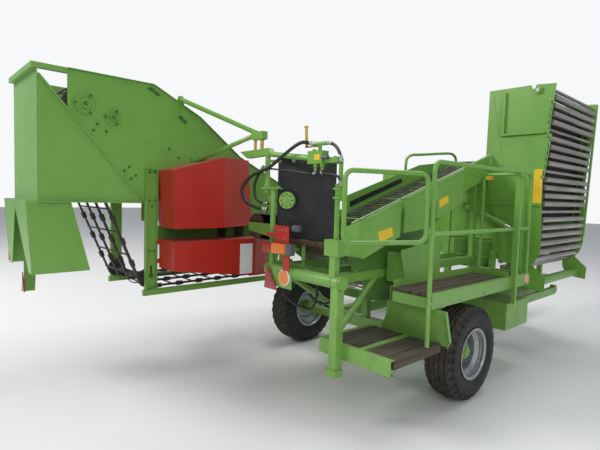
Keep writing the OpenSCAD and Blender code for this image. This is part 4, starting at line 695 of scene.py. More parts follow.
def channel_beam(batch, x0, x1, y0, y1, z0, z1, web, back):
    """A beam of channel section along X or Y: a web on the side that back names, a flange above and below."""
    low, high = np.array([x0, y0, z0], dtype=float), np.array([x1, y1, z1], dtype=float)
    axis = "xy".index(back[0])
    web_low, web_high = low.copy(), high.copy()
    flange_low, flange_high = low.copy(), high.copy()
    if back[1] == "0":
        web_high[axis] = flange_low[axis] = low[axis] + web
    else:
        web_low[axis] = flange_high[axis] = high[axis] - web
    batch.add(*slab(web_low, web_high, 1.5))
    for z in (z0, z1 - web):
        flange_low[2], flange_high[2] = z, z + web
        batch.add(*slab(flange_low, flange_high, 1.0))


def planks(batch, edges, y0, y1, z0, z1, chance):
    """Boards side by side, each a little lower and a little shorter or longer than the next."""
    for x0, x1 in edges:
        drop, near, far = chance.uniform(0.0, 2.5), chance.uniform(0.0, 9.0), chance.uniform(0.0, 7.0)
        batch.add(*slab((x0, y0 + near, z0), (x1, y1 - far, z1 - drop), 3.0))


def rows_between(x0, x1, count, gap):
    """Pairs of edges of equal boards with a gap between them."""
    width = (x1 - x0 - (count - 1) * gap) / count
    return [(x0 + k * (width + gap), x0 + k * (width + gap) + width) for k in range(count)]


def tread_boards():
    """Weathered boards of the upper platform and of the step, with the thick edge board of the step."""
    chance = np.random.default_rng(11)
    batch = Batch()
    step_y = (-1048, -480)
    step_z = (540, 561)
    planks(batch, rows_between(703, 1007, 4, 11), PLATFORM_REAR + 4, 1096, 922, PLATFORM_Z[1], chance)
    planks(batch, rows_between(423, STEP_BAR_X[0] - 3, 4, 4), *step_y, *step_z, chance)
    planks(batch, rows_between(STEP_BAR_X[1] + 3, 968, 2, 4), *step_y, *step_z, chance)
    batch.add(*slab((972, step_y[0] - 1, 492), (SIDE_BEAM_X - 2, STEP_FRONT - 2, step_z[1]), 5))
    boards = batch.piece("tread_boards", grey_boards, "chassis", "weathered_boards")
    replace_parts(boards, "boards")


def platform_beams():
    """Channel beams round the upper platform, with upright toe boards on two sides."""
    low, top = PLATFORM_Z
    beam, web, toe_top = 40, 5, 1004
    inner, outer, rear, front = 660, SIDE_BEAM_X, PLATFORM_REAR, PLATFORM_FRONT
    batch = Batch()
    channel_beam(batch, outer - beam, outer, rear, front, low, top, web, "x1")
    channel_beam(batch, inner, inner + beam, rear + 24, front, low, top, web, "x0")
    channel_beam(batch, inner + beam, outer - beam, rear, rear + beam, low, 921, web, "y0")
    channel_beam(batch, inner + beam, outer - beam, front - beam, front, low, top, web, "y1")
    for y in (200, front - beam):
        channel_beam(batch, 465, inner, y, y + beam, low, top, web, "y0")
    for y in (-200, 300):
        batch.add(*slab((inner + beam, y, low), (outer - beam, y + 30, 922), 1))
    batch.add(*slab((625, 560, 460), (655, 600, low), 1.5))
    batch.add(*slab((696, -604, top), (701, 661, toe_top), 1.2))
    batch.add(*slab((701, 656, top), (1046, 661, toe_top), 1.2))
    beams = batch.piece("platform_beams", green_paint, "chassis", "green_paint")
    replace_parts(beams, "platform_frame")


def step_beams():
    """Channel beams round the step, a flat bar between its boards and short bearers under them."""
    left, right, rear, depth = 380, SIDE_BEAM_X, STEP_REAR, 44
    bar0, bar1 = STEP_BAR_X
    batch = Batch()
    channel_beam(batch, left, right, rear, rear + depth, *STEP_Z, 6, "y0")
    batch.add(*slab((right - 6, rear + 2, 449), (right + 6, rear + 42, 459), 1.5))
    channel_beam(batch, left, left + 40, rear + depth, STEP_FRONT, *STEP_Z, 5, "x0")
    batch.add(*slab((bar0, rear + 42, 534), (bar1, STEP_FRONT - 6, 566), 1.5))
    for y in (-820, -520):
        for x0, x1 in ((left + 40, 545), (625, bar0 + 10), (bar1 - 10, 972)):
            batch.add(*slab((x0, y, 510), (x1, y + 30, 540), 1))
    beams = batch.piece("step_beams", green_paint, "chassis", "green_paint")
    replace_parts(beams, "step_frame")


def riser_sheet():
    """The sheet between step and platform: an outline in X and Z whose Y leans back evenly with Z, with a
    folded edge."""
    foot_z, slope, fold = 545, 0.37, 26

    def leaning(x, z):
        return (x, -462.0 - (z - foot_z) * slope, z)

    outline = [(483, foot_z), (1106, foot_z), (1140, 600), (1146, 836), (1009, 836), (1009, 918), (703, 918),
               (703, 838), (656, 838)]
    batch = Batch()
    batch.add(*plate([leaning(x, z) for x, z in outline], (0, 1, slope), 4))
    for (x0, z0), (x1, z1) in (outline[1:3], outline[2:4]):
        edge = [leaning(x0, z0), leaning(x1, z1)]
        edge += [np.subtract(point, (0, fold, 8)) for point in edge[::-1]]
        batch.add(*plate(edge, (1, 0, 0), 3))
    sheet = batch.piece("riser_sheet", green_paint, "chassis", "green_paint")
    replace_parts(sheet, "mudguard")


# Sorting table

def side_board(batch, outline, x0, x1):
    """A sheet standing along the machine, from an outline of (Y, Z) points."""
    batch.add(*plate([(x0, y, z) for y, z in outline], (1, 0, 0), x1 - x0))


def rolled_edge(batch, line, radius=5.0):
    """A bead along a sheet's edge: a tube on straight runs, each cut into seven."""
    line = np.asarray(line, dtype=float)
    share = np.linspace(0, 1, 8)[:-1, None]
    runs = [a + (b - a) * share for a, b in zip(line[:-1], line[1:])]
    batch.add(*tube(np.vstack(runs + [line[-1:]]), radius, 8))


def table_boards():
    """Both side boards of the sorting table, its cross bars and legs, and the far hand rail."""
    rear, front = TABLE_REAR, TABLE_FRONT
    under = [(rear, 1195), (front, table_top(front) - TABLE_DEPTH)]
    upper = [(220, 1885), (560, 1988), (900, 2030), (940, 2036), (1275, 2036)]
    batch = Batch()
    side_board(batch, [(rear, table_top(rear)), *under, (front, table_top(front))], *TABLE_RIGHT)
    left = [(-560, 1647), (-560, table_top(-560) + 5), (rear, table_top(rear) + 5), *under, (front, 2026)]
    side_board(batch, left + upper[::-1], *TABLE_LEFT)
    rolled_edge(batch, [(122.5, y, z) for y, z in [(-559, 1647)] + upper + [(front - 1, 2026)]], 5)
    for y in (-760, 250, 1150):
        z = table_top(y) - TABLE_DEPTH
        batch.add(*slab((TABLE_LEFT[1], y - 20, z + 10), (TABLE_RIGHT[0], y + 20, z + 40), 1.5))
        for x in (150, 430):
            batch.add(*slab((x - 25, y - 20, 1045), (x + 25, y + 20, z + 10), 2))
    rail_x = 106
    route = ((343, 1885), (343, 1990), (362, 2046), (440, 2086), (620, 2105), (1141, 2160), (1270, 2148),
             (1318, 2105), (1326, 2010))
    batch.add(*tube(curve_through([(rail_x, y, z) for y, z in route], 6), 14, 16))
    for y, z in ((343, 1900), (1324, 2012)):
        batch.add(*prism((rail_x, y, z), (1, 0, 0), 8, 15, 10))
    table = batch.piece("table_boards", green_paint, "chassis", "green_paint")
    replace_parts(table, "table_frame")


def table_edges():
    """The lip on the table's right board, pale green as a painted highlight, and the rubber strip inside its
    left board.
    """
    lip = Batch()
    # The lip is pale green: a painted highlight along its rolled edge
    rolled_edge(lip, [(TABLE_RIGHT[0], y, table_top(y) + 6) for y in (TABLE_REAR + 1, TABLE_FRONT - 1)], 9)
    lip.piece("table_lip", painted_highlight_green, "chassis", "green_paint")
    strip = Batch()
    side_board(strip, [(-504, 1556), (-504, 1604), (245, 1842), (253, 1800)], 126, 132)
    strip.piece("table_strip", curtain_rubber, "chassis", "rubber_black")


tread_boards()
platform_beams()
step_beams()
riser_sheet()
table_boards()
table_edges()


# Rails, lips and small welded parts in green

def closed_ring(loop, radius, sides=6):
    """A bead round a closed line: circles square to the line, the last joined to the first."""
    p = np.asarray(loop, dtype=float)
    step = np.roll(p, -1, axis=0) - np.roll(p, 1, axis=0)
    step /= np.linalg.norm(step, axis=1)[:, None]
    out = p - p.mean(axis=0)
    out /= np.linalg.norm(out, axis=1)[:, None]
    side = np.cross(step, out)
    t = (np.arange(sides) * 2 * math.pi / sides)[None, :, None]
    rings = p[:, None, :] + radius * (np.cos(t) * out[:, None, :] + np.sin(t) * side[:, None, :])
    faces = grid_faces(len(p), sides, True, True)
    if outward_flip(rings, faces):
        faces = faces[:, ::-1]
    return rings.reshape(-1, 3), faces.tolist()


def chute_lips(batch):
    """Beads on the upper edges of the chutes, and a rivet below each."""
    for y0, y1, z0, z1, _, _ in CHUTES:
        rolled_edge(batch, [(CHUTE_X - 2, y0 + 2, z0), (CHUTE_X - 2, y1 - 2, z1)], 7)
        rolled_edge(batch, [(TABLE_RIGHT[1] + 5, y0 + 2, z0), (CHUTE_X - 4, y0 + 2, z0)], 4)
        batch.add(*prism((CHUTE_X, y0 + 60, z0 - 60), (1, 0, 0), 7, 3, 10))


def channel_lips(batch):
    """On the channel: the hood's sloping edge and ledge, rings on the bearings, end plates of the posts."""
    for x in (-1141, -1959):
        rolled_edge(batch, [(x, -2655, 2506), (x, -1836, 1562)], 9)
    batch.add(*slab((-1150, -2660, 1533), (-1104, -1842, 1539), 1.5))
    for _, face, side in CHANNEL_SIDES:
        for middle, radius in BEARINGS:
            for share, wide in ((0.97, 4.0), (0.66, 3.0)):
                batch.add(*closed_ring(circle((face + side * 8, *middle), share * radius, 0), wide))
    for x in (-1110, -1956):
        for z in (1840, 752):
            batch.add(*slab((x - 34, -1812, z - 3), (x, -1708, z + 3), 1))


def green_fittings():
    """Beads, rings, collars and pins that finish the painted sheets and tubes."""
    batch = Batch()
    chute_lips(batch)
    for z in (1372, 1642):
        batch.add(*prism((1033, -672, z), (0, 0, 1), 9, 16, 6, 0.2))
    for x in (-20, 110):
        batch.add(*prism((x, LAMP_Y + 3, 1020), (0, -1, 0), 10, 8, 6))
    channel_lips(batch)
    cross_z = 1020
    batch.add(*prism((641, CROSS_Y, cross_z), (1, 0, 0), 46, 4, 32))
    for x in (551, 619):
        batch.add(*closed_ring(circle((x, CROSS_Y, cross_z), 49, 0), 4.0))
    for z, r in ((1690, 31), (1722, 25)):
        batch.add(*closed_ring(circle((-259, CROSS_Y, z), r, 2), 3.5))
    batch.piece("green_fittings", green_paint, "chassis", "green_paint")


green_fittings()


# Bolts

# Places as (Y, Z)
PLATE_BOLTS = ((-2221, 2180), (-2252, 2127), (-2149, 2127), (-1583, 2033), (-1487, 1960), (-1996, 1811),
               (-1953, 1845), (-1936, 1746), (-1896, 1774))
POST_BOLTS = ((-1770, 1808), (-1722, 1810), (-1772, 1556), (-1722, 1558), (-1748, 1503), (-1768, 1100),
              (-1728, 1098))
BEARING_PLATES = (((-1799, 2548), (-1758, 2562), (-1668, 2503), (-1705, 2492)),
                  ((-1500, 2336), (-1470, 2358), (-1400, 2299), (-1426, 2278)))
TABLE_BOLTS = ((-940, 1330), (-700, 1405), (-370, 1510), (60, 1640), (500, 1780), (940, 1915))
CURTAIN_BAR_Z = 1924


def bearing_tips(middle, radius, side):
    """Places of a bearing's three lugs, as the frame has them: on the left-hand plate they stand upside
    down."""
    reach = radius - 6
    angles = np.radians([30, 150, 270])
    return [(middle[0] + reach * math.sin(a), middle[1] - side * reach * math.cos(a)) for a in angles]


def channel_bolts():
    """Bolts on both outer faces of the digging channel and its posts, with the bearings' nuts and shaft
    ends."""
    for word, face, side in CHANNEL_SIDES:
        batch = Batch()
        out = (side, 0, 0)
        post = face + side * 6
        for y, z in PLATE_BOLTS:
            bolt(batch, (face, y, z), out, 10)
        for y, z in POST_BOLTS:
            bolt(batch, (post, y, z), out, 9, turn=0.5)
        bolt(batch, (post, -1750, 872), out, 17)
        for middle, radius in BEARINGS:
            for y, z in bearing_tips(middle, radius, side):
                bolt(batch, (face + side * 20, y, z), out, 9)
            batch.add(*prism((face + side * 30, *middle), out, 20, 5, 20))
            batch.add(*prism((face + side * 35, *middle), out, 12, 4, 16))
        for corners in np.array(BEARING_PLATES, dtype=float):
            batch.add(*plate([(face, y, z) for y, z in corners], out, 5))
            for share in (-0.28, 0.28):
                y, z = corners.mean(axis=0) + share * (corners[3] - corners[0])
                bolt(batch, (face + side * 5, y, z), out, 11)
        # The darker green of these bolts, nuts and shaft ends is painted shade
        batch.piece(f"channel_bolts_{word}", dull_bolt, "chassis", "worn_steel")
        slot = Batch()
        # A thin black patch stands for the post's slot: painted shade in the slot
        slot.add(*slab((face + side * 5.9, -1760, 896), (face + side * 7.2, -1742, 966), 0.6))
        slot.piece(f"shade_in_post_slot_{word}", dark_rubber_and_slot_shade, "chassis", "rubber_black")


def frame_bolts():
    """Zinc bolts of the curtain's bar, the table, the chutes, the platform and the bunker, and the motor's
    dark screws."""
    batch = Batch()
    for u in (16, 144, 310, 476):
        batch.add(*prism(on_curtain(u, CURTAIN_BAR_Z), CURTAIN_OUT, 17, 3, 20))
        bolt(batch, on_curtain(u, CURTAIN_BAR_Z, 3), CURTAIN_OUT, 9)
    for y, z in TABLE_BOLTS:
        bolt(batch, (TABLE_RIGHT[1], y, z), (1, 0, 0), 8)
    for y0, y1, z0, z1, _, _ in CHUTES:
        for y, z in ((y0 + 30, z0 - 30), (y1 - 30, z1 - 30)):
            bolt(batch, (CHUTE_X, y, z), (1, 0, 0), 5, stud=False)
    for y in (-560, -210, 190, 620, 1060):
        bolt(batch, (SIDE_BEAM_X, y, 862), (1, 0, 0), 8)
    for x in (-560, -330, -90, 150, 390):
        bolt(batch, (x, BUNKER_Y - 0.5, 1300), (0, -1, 0), 8)
    batch.piece("frame_bolts", zinc_bolt, "chassis", "bare_steel")
    screws = Batch()
    for a in np.radians(np.arange(0, 360, 45)):
        at = on_curtain(MOTOR_U + 50 * math.cos(a), MOTOR_Z + 50 * math.sin(a), 27)
        screws.add(*prism(at, CURTAIN_OUT, 8, 3, 12))
    screws.piece("motor_screws", dark_rubber_and_slot_shade, "chassis", "rubber_black")


def arm_fittings():
    """On the unloading arm: bolts of its upper shaft and along its edges, and two adjuster strips with
    slots."""
    out = (0, -1, 0)
    shaft_x, shaft_z = 957, 2768
    thick, lean, end = 7, 0.11, 20
    strip_y = ARM_Y - thick
    batch = Batch()
    for a in np.radians([90, 210, 330]):
        bolt(batch, (shaft_x + 34 * math.cos(a), 1342, shaft_z + 34 * math.sin(a)), out, 8)
    batch.add(*prism((shaft_x, 1320, shaft_z), out, 17, 10, 20))
    for z in (1690, 1800, 1910, 2040, 2200, 2380, 2560):
        bolt(batch, (540, ARM_Y, z), out, 6, stud=False)
    for z in (2660, 2390, 2300, 1900):
        bolt(batch, (1078 - (2800 - z) * 0.05, strip_y, z), out, 8)
    batch.piece("arm_bolts", zinc_bolt, "unloading_arm", "bare_steel")
    strips, slots = Batch(), Batch()
    for z0, z1, count in ((2395, 2675, 4), (1885, 2325, 6)):
        foot = (z1 - z0) * lean
        outline = ((1082, z1), (1106, z1), (1106 - foot, z0), (1082 - foot, z0))
        strips.add(*plate([(x, ARM_Y, z) for x, z in outline], out, thick))
        pitch = (z1 - z0 - 2 * end) / count
        for k in range(count):
            z = z0 + end + (k + 0.5) * pitch
            x = 1094 - (z1 - z) * lean
            half = pitch * 0.36
            # Each slot is a thin black patch on the strip: painted shade in the slot
            slots.add(*slab((x - 4, strip_y - 0.6, z - half), (x + 4, strip_y + 0.4, z + half), 0.4))
    strips.piece("arm_strips", green_paint, "unloading_arm", "green_paint")
    slots.piece("shade_in_arm_slots", dark_rubber_and_slot_shade, "unloading_arm", "rubber_black")


channel_bolts()
frame_bolts()
arm_fittings()


# Lamps, reflectors and blank plates

def boxes(batch, *items):
    """Adds boxes given as (low corner, high corner, bevel)."""
    for low, high, bevel in items:
        batch.add(*slab(low, high, bevel))


def lamp_plates():
    """Red plates behind the lamps, one with rounded upper corners, and dark lamp shells."""
    red = Batch()
    outline = [(-82, 1180), (97, 1180)]
    for x, start in ((87, 0.0), (-72, math.pi / 2)):
        turn = np.linspace(start, start + math.pi / 2, 5)
        outline += [(x + 10 * math.cos(a), 1386 + 10 * math.sin(a)) for a in turn]
    red.add(*plate([(x, LAMP_Y, z) for x, z in outline], (0, -1, 0), 5))
    boxes(red,
          ((41, -1192, 1040), (117, LAMP_Y, 1180), 1.5),
          ((-192, -1185, 1300), (-82, LAMP_Y, 1330), 1),
          ((-90, -1194, 905), (-60, LAMP_Y, 935), 1),
          ((-1950, -2606, 760), (-1930, -2600, 790), 1))
    group = red.piece("lamp_plate", red_paint, "chassis", "red_paint")
    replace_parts(group, "rear_lights")
    shell = Batch()
    boxes(shell,
          ((-181, -1202, 1172), (178, -1185, 1258), 3),
          ((116, -1240, 1172), (178, -1201, 1258), 7),
          ((104, -1178, 1356), (192, -1122, 1408), 14),
          ((-1988, -2700, 981), (-1950, -2621, 1078), 4))
    shell.piece("lamp_shells", lamp_shell, "chassis", "rubber_black")


def lamp_lenses():
    """Red lenses and triangles, each triangle with a smaller one on its face, and the amber lens."""
    rose = Batch()
    boxes(rose,
          ((-180, -1238, 1174), (-66, -1201, 1256), 7),
          ((-1987, -2714, 983), (-1951, -2699, 1076), 6))
    triangles = ((((-152, 1063), (-180, 869), (-10, 870)), -1202),
                 (((-1946, 873), (-1988, 693), (-1880, 693)), -2614))
    for corners, y in triangles:
        rose.add(*plate([(x, y + 8, z) for x, z in corners], (0, -1, 0), 8))
        middle = np.mean(corners, axis=0)
        inner = middle + 0.74 * (np.array(corners) - middle)
        rose.add(*plate([(x, y, z) for x, z in inner], (0, -1, 0), 2))
    rose.piece("lamp_red_lenses", lamp_red, "chassis", "lamp_red")
    amber = Batch()
    boxes(amber, ((-64, -1238, 1174), (114, -1201, 1256), 7))
    amber.piece("lamp_amber_lens", lamp_amber, "chassis", "lamp_red")


def round_reflectors():
    """Round amber reflectors: at the rear and on the platform's side in pale rims, and a small one on the
    hoop."""
    discs, rims = Batch(), Batch()
    rear_x, rear_z = 55, 983
    side_y, side_z = 1088, 893
    rims.add(*prism((rear_x, LAMP_Y, rear_z), (0, -1, 0), 66, 9, 40))
    rims.add(*prism((rear_x, LAMP_Y - 9, rear_z), (0, -1, 0), 66, 3, 40, 0, 62))
    rims.add(*prism((SIDE_BEAM_X, side_y, side_z), (1, 0, 0), 44, 5, 40, 0, 42))
    discs.add(*prism((rear_x, LAMP_Y - 9, rear_z), (0, -1, 0), 61, 5, 40, 0, 57))
    discs.add(*prism((SIDE_BEAM_X + 5, side_y, side_z), (1, 0, 0), 38, 3, 40, 0, 36))
    discs.add(*prism((640, 1100, 1881), (0, -1, 0), 15, 3, 24))
    discs.piece("round_reflectors", reflector_amber, "chassis", "lamp_red")
    rims.piece("reflector_rims", white_plate, "chassis", "bare_steel")


def lamp_bolts():
    """Small bolts on the red plates."""
    bolts = Batch()
    for x, z in ((-35, 1361), (14, 1361), (62, 1361), (-50, 1298), (47, 1298)):
        bolt(bolts, (x, LAMP_Y - 5, z), (0, -1, 0), 6)
    bolt(bolts, (-75, -1194, 920), (0, -1, 0), 7)
    bolts.piece("lamp_bolts", zinc_bolt, "chassis", "bare_steel")


def blank_plates():
    """Blank plates where the machine carries signs: white on the lower guard, yellow on chutes, valve, hoop
    and arm."""
    white = Batch()
    boxes(white, ((-820, -1000, 864), (-818.4, -852, 1158), 0.5))
    white.piece("guard_plate", white_plate, "chassis", "bare_steel")
    yellow = Batch()
    for outline in (((0, 1639), (142, 1682), (158, 1621), (14, 1573)),
                    ((-833, 1388), (-662, 1421), (-646, 1350), (-806, 1310))):
        yellow.add(*plate([(CHUTE_X, y, z) for y, z in outline], (1, 0, 0), 1.4))
    boxes(yellow,
          ((337, -1166.6, 1908), (395, -1165, 1950), 0.4),
          ((574, 1100, 1862), (654, 1101.6, 1901), 0.4))
    yellow.piece("yellow_plates", yellow_plate, "chassis", "bare_steel")
    arm = Batch()
    boxes(arm, ((958, ARM_Y - 1.4, 1634), (1042, ARM_Y, 1978), 0.5))
    arm.piece("arm_plate", yellow_plate, "unloading_arm", "bare_steel")


lamp_plates()
lamp_lenses()
round_reflectors()
lamp_bolts()
blank_plates()


# Hoses and valve levers

# Each route: the hose's radius, then points of its middle line
HOSE_ROUTES = (
    (14, ((327, -1140, 2030), (280, -1143, 2037), (190, -1178, 2042), (20, -1192, 1959), (-166, -1196, 1861),
          (-369, -1198, 1806), (-498, -1196, 1729), (-540, -1192, 1658), (-477, -1186, 1571),
          (-316, -1180, 1525), (-200, -1168, 1522))),
    (12, ((-262, -1170, 1880), (-300, -1176, 1835), (-370, -1168, 1763), (-393, -1166, 1690),
          (-370, -1163, 1610), (-290, -1160, 1570), (-205, -1158, 1568))),
    (12, ((442, -1140, 2030), (460, -1140, 2030), (500, -1146, 2022), (560, -1160, 1990), (606, -1172, 1935),
          (622, -1176, 1880))),
    (7, ((331, -1142, 1829), (330, -1150, 1813), (300, -1176, 1808), (200, -1184, 1822), (40, -1188, 1838),
         (-130, -1185, 1852), (-222, -1172, 1858))),
    (9, ((401, -1142, 1828), (402, -1148, 1812), (470, -1176, 1800), (550, -1184, 1800), (612, -1186, 1775),
         (636, -1180, 1712))),
    (11, ((-240, -900, 974.5), (-240, -900, 962), (-240, -900, 950), (-284, -900, 860), (-262, -900, 760),
          (-150, -900, 705), (-20, -900, 686), (90, -900, 700), (142, -900, 800), (150, -900, 950),
          (150, -900, 962), (150, -900, 974.5))),
    (11, ((-245, -600, 974.5), (-245, -600, 962), (-245, -600, 950), (-296, -600, 840), (-240, -600, 720),
          (-150, -600, 672), (-40, -600, 672), (70, -600, 740), (136, -600, 850), (150, -600, 950),
          (150, -600, 962), (150, -600, 974.5))))


def hydraulic_hoses():
    """Hoses on the frame's routes, round and smooth, with a crimped ferrule at both ends."""
    ferrule = np.array([1.2, 2.4, 2.4, 1.6, 2.4, 2.4, 1.0])
    runs, ends = Batch(), Batch()
    for radius, route in HOSE_ROUTES:
        path = curve_through(route, 8)
        runs.add(*tube(path, radius, 14))
        for line in (path, path[::-1]):
            length = np.concatenate([[0], np.cumsum(np.linalg.norm(np.diff(line, axis=0), axis=1))])
            where = np.linspace(2.0, 3.4 * radius + 14, len(ferrule))
            collar = np.stack([np.interp(where, length, line[:, k]) for k in range(3)], axis=-1)
            ends.add(*tube(collar, radius + ferrule, 14))
    hoses = runs.piece("hydraulic_hoses", dark_rubber_and_slot_shade, "chassis", "rubber_black", smooth=True)
    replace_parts(hoses, "hoses")
    ends.piece("hose_ferrules", zinc_bolt, "chassis", "bare_steel")


def valve_parts():
    """Ochre sleeves and levers, and a black spool knob."""
    ochre = Batch()
    ochre.add(*prism((-346, CROSS_Y, 2029.2), (0, 0, 1), 16.2, 83, 24))
    ochre.add(*prism((-440, CROSS_Y, 2026), (0, 0, 1), 13, 86, 24))
    boxes(ochre,
          ((-366, -1150, 2104), (-326, -1110, 2112), 1.5),
          ((204, -1137, 2008), (345, -1129, 2020), 1.5))
    lever = ((206, 2010), (230, 2010), (220, 2168), (196, 2168))
    ochre.add(*plate([(x, -1129, z) for x, z in lever], (0, -1, 0), 8))
    boxes(ochre, ((189, -1142, 2164), (227, -1124, 2176), 3))
    ochre.piece("ochre_levers", ochre_paint, "chassis", "green_paint")
    knob = Batch()
    knob.add(*prism((418, -1168, 1925), (1, 0, 0), 10, 26, 16))
    knob.add(*prism((442, -1168, 1925), (1, 0, 0), 17, 40, 24, 0, 15))
    knob.piece("spool_knob", lamp_shell, "chassis", "rubber_black")


hydraulic_hoses()
valve_parts()


# Wheels

# Rings on the rim: radius, distance from the machine's middle
RIM_RINGS = ((186, 1050), (178, 1006), (160, 972), (128, 960))
# The hub's green steps: distance from the machine's middle, radius, height, sides, radius of the top
HUB_STEPS = ((962.0, 88, 16, 40, 84), (977.0, 64, 34, 40, 58), (1010.0, 46, 18, 32, 38))


def wheel_trim():
    """On each wheel: studs and the hub's middle, a stepped green cap with bolts, rings on the rim, a valve
    stem."""
    for side, word in ((-1, "left"), (1, "right")):
        out = (side, 0, 0)
        batch = Batch()
        for a in np.radians(np.arange(0, 360, 60) + 30):
            at = (side * 971.0, 102.5 * math.sin(a), AXLE_Z + 102.5 * math.cos(a))
            batch.add(*prism(at, out, 8, 14, 12, 0, 7))
        batch.add(*prism((side * 1001.0, 0, AXLE_Z), out, 22, 7, 24, 0, 18))
        batch.piece(f"hub_trim_{word}", zinc_bolt, f"wheel_{word}", "bare_steel")
        hub = Batch()
        for x, radius, height, sides, top in HUB_STEPS:
            hub.add(*prism((side * x, 0, AXLE_Z), out, radius, height, sides, 0, top))
        for a in np.radians(np.arange(0, 360, 60)):
            bolt(hub, (side * 978.0, 75 * math.sin(a), AXLE_Z + 75 * math.cos(a)), out, 10)
        hub.piece(f"hub_cap_{word}", green_paint, f"wheel_{word}", "green_paint")
        rings = Batch()
        for radius, x in RIM_RINGS:
            rings.add(*closed_ring(circle((side * x, 0, AXLE_Z), radius, 0, 48), 3.5))
        rings.piece(f"rim_rings_{word}", rim_zinc, f"wheel_{word}", "rim_silver")
        stem = Batch()
        stem.add(*prism((side * 985.0, 0, AXLE_Z + 178), (side, 0, 0.4), 6, 40, 10, 0, 4))
        stem.piece(f"valve_stem_{word}", dark_rubber_and_slot_shade, f"wheel_{word}", "rubber_black")


wheel_trim()


# Chutes, sheets in the shade, fingers, and the haulm web's clamps

def chute_sheets():
    """Chutes beside the table: an outer sheet each, end sheets whose upper edges fall towards the table,
    and below them the one large chute."""
    batch = Batch()
    thick = 4
    table, outer = TABLE_RIGHT[1], CHUTE_X - thick
    for y0, y1, z0, z1, low0, low1 in CHUTES:
        side_board(batch, [(y0, z0), (y0, low0), (y1, low1), (y1, z1)], outer, CHUTE_X)
        for y, z, low in ((y0, z0, low0), (y1 - thick, z1, low1)):
            end = [(table, table_top(y) + 8), (table, low), (outer, low), (outer, z)]
            batch.add(*plate([(x, y, height) for x, height in end], (0, 1, 0), thick))
    side_board(batch, [(-523, 1232), (53, 1294), (78, 1040), (78, 952), (-440, 952), (-464, 1036)], 691, 695)
    for y, z in ((-440, 1200), (74, 1250)):
        batch.add(*slab((table, y, 952), (691, y + thick, z), 1))
    sheets = batch.piece("chute_sheets", green_paint, "chassis", "green_paint")
    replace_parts(sheets, "chutes")


def finger_rows():
    """Rows of short fingers on cross bars, hanging below the curtain's edge at the end of the cross web."""
    batch = Batch()
    for row in range(6):
        y, z = -1020.0 + 34 * row, 1276.0 - 21 * row
        batch.add(*tube(np.array([[x, y, z] for x in np.linspace(-120, 455, 6)]), 7, 8))
        for x in np.arange(-108 + (row % 2) * 13, 450, 26.0):
            batch.add(*prism((x, y, z), (0, -0.35, -0.94), 6, 27, 6, 0, 4))
    batch.piece("finger_rows", rusty_web, "chassis", "worn_steel")


def inner_sheets():
    """Sheets in the shade, in a darker green that is painted shade: under the sorting table, beside its legs,
    at the bunker's wall and between the guards. With them the rubber flaps and the disc behind the motor,
    and the dark bed behind the arm's slats, whose darkness is painted shade in the gaps between them."""
    batch = Batch()
    rear, front = TABLE_REAR + 20.0, TABLE_FRONT - 20.0
    left, right = TABLE_LEFT[1] + 3, TABLE_RIGHT[0] - 2
    under = ((left, rear), (right, rear), (right, front), (left, front))
    batch.add(*plate([(x, y, table_top(y) - 205) for x, y in under], (0, 0, -1), 4))
    legs = [(-900, 1195), (400, 1605), (400, 1450), (60, 1250), (-199, 1050), (-291, 757), (-634, 803),
            (-715, 1015)]
    side_board(batch, legs, 456, 460)
    batch.add(*slab((120, 1352, 900), (560, 1356, 1200), 1))
    side_board(batch, [(-1690, 1325), (-1690, 1175), (-560, 1120), (-520, 1325)], -1149, -1144)
    # Painted shade: these sheets take the darker green
    batch.piece("inner_sheets", deep_green, "chassis", "green_paint")
    flaps = Batch()
    for y0, y1 in ((-1060, -961), (-855, -743)):
        flaps.add(*slab((-1142, y0, 1130), (-1134, y1, 1330), 2))
    flaps.add(*prism(on_curtain(MOTOR_U, MOTOR_Z, -14), CURTAIN_OUT, 116, 5, 40))
    flaps.piece("rubber_flaps", curtain_rubber, "chassis", "rubber_black")
    # Painted shade: the dark bed behind the slats makes the gaps between them dark
    low, high = (931, 1420), (984, 2660)
    bed = Batch()
    outline = ((low, 1372), (low, 2678), (high, 2678), (high, 1372))
    bed.add(*plate([(x, y, z) for (x, z), y in outline], (-1, 0, 0), 4))
    bed.piece("arm_bed", haulm_steel, "unloading_arm", "worn_steel")


def haulm_clamps():
    """Covers and clamps on the belts of the haulm web, at equal steps along the falling and the lower
    strand."""
    step = 215
    batch = Batch()
    for start, end in np.array((((-2455, 2263), (-1848, 838)), ((-1755, 771), (-345, 781))), dtype=float):
        length = float(np.linalg.norm(end - start))
        d = (end - start) / length
        for x in (-1932, -1680, -1428, -1172):
            belt = [[x, *(start + d * along)] for along in np.linspace(0, length, 6)]
            batch.add(*tube(belt, 11, 8))
            for k in range(int(length / step)):
                y, z = start + d * (60 + step * k)
                batch.add(*prism((x, y, z), (0, d[0], d[1]), 24, 58, 8, 0.39, 20))
    batch.piece("haulm_clamps", haulm_steel, "chassis", "worn_steel")


chute_sheets()
finger_rows()
inner_sheets()
haulm_clamps()


# Floor, lights and camera

def stage_floor():
    """A wide pale floor."""
    f = Finish("pale_floor")
    f.put(f.shader.inputs["Base Color"], (0.78, 0.78, 0.77))
    f.shader.inputs["Roughness"].default_value = 0.9
    half = 40
    corners = [(-half, -half, 0), (half, -half, 0), (half, half, 0), (-half, half, 0)]
    floor = new_piece("floor", corners, [(0, 1, 2, 3)], f.mat)


def area_light(name, at, toward, size, power, color=(1, 1, 1)):
    """A round lamp turned towards a point, its size in metres and its power in watts."""
    data = bpy.data.lights.new(name, "AREA")
    data.shape = "DISK"
    data.size = size
    data.energy = power
    data.color = color
    obj = bpy.data.objects.new(name, data)
    bpy.context.collection.objects.link(obj)
    obj.location = at
    obj.rotation_euler = (Vector(toward) - Vector(at)).to_track_quat("-Z", "Y").to_euler()


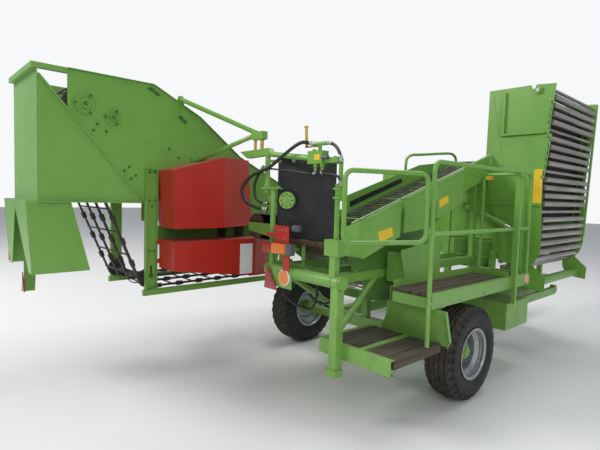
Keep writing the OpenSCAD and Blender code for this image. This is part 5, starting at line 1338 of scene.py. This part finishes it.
def studio_world():
    """A pale background to look at, and a dimmer, bluer one that lights the machine."""
    world = bpy.data.worlds.new("studio")
    bpy.context.scene.world = world
    world.use_nodes = True
    tree = world.node_tree
    tree.nodes.clear()
    out = tree.nodes.new("ShaderNodeOutputWorld")
    seen = tree.nodes.new("ShaderNodeBackground")
    lit = tree.nodes.new("ShaderNodeBackground")
    for node, color, strength in ((seen, (0.93, 0.94, 0.95, 1), 1.0), (lit, (0.90, 0.94, 1.0, 1), 0.45)):
        node.inputs["Color"].default_value = color
        node.inputs["Strength"].default_value = strength
    path = tree.nodes.new("ShaderNodeLightPath")
    blend = tree.nodes.new("ShaderNodeMixShader")
    tree.links.new(path.outputs["Is Camera Ray"], blend.inputs[0])
    tree.links.new(lit.outputs[0], blend.inputs[1])
    tree.links.new(seen.outputs[0], blend.inputs[2])
    tree.links.new(blend.outputs[0], out.inputs["Surface"])
    bpy.context.scene.view_settings.view_transform = "Standard"


# The camera solved from the photograph: angles in degrees, place in metres, lens and sensor in millimetres
CAMERA_YAW, CAMERA_PITCH, CAMERA_ROLL = 47.4095, -3.7038, -1.7068
CAMERA_PLACE = (3.22, -4.332, 1.643)
CAMERA_LENS, CAMERA_SENSOR = 27.425, 36.0


def photo_camera():
    """The camera of the photograph: it looks along its yaw and pitch, then its picture is turned by its
    roll."""
    yaw, pitch, roll = np.radians([CAMERA_YAW, CAMERA_PITCH, CAMERA_ROLL])
    ahead = np.array([-math.sin(yaw) * math.cos(pitch), math.cos(yaw) * math.cos(pitch), math.sin(pitch)])
    right = np.array([math.cos(yaw), math.sin(yaw), 0.0])
    down = np.cross(ahead, right)
    turned_right = math.cos(roll) * right + math.sin(roll) * down
    turned_down = -math.sin(roll) * right + math.cos(roll) * down
    data = bpy.data.cameras.new("photo_camera")
    data.sensor_fit = "HORIZONTAL"
    data.sensor_width = CAMERA_SENSOR
    data.lens = CAMERA_LENS
    camera = bpy.data.objects.new("photo_camera", data)
    bpy.context.collection.objects.link(camera)
    columns = np.column_stack([turned_right, -turned_down, -ahead])
    camera.matrix_world = Matrix.Translation(CAMERA_PLACE) @ Matrix(columns.tolist()).to_4x4()
    bpy.context.scene.camera = camera


stage_floor()
area_light("key", (-6.5, -9.5, 8.5), (0, -0.5, 1.0), 5.0, 900, (1.0, 0.985, 0.96))
area_light("fill", (9.0, -6.0, 5.0), (0, 0, 1.0), 6.0, 250, (0.96, 0.98, 1.0))
area_light("top", (0.0, 2.0, 10.0), (0, 0, 1.0), 7.0, 430)
studio_world()
photo_camera()
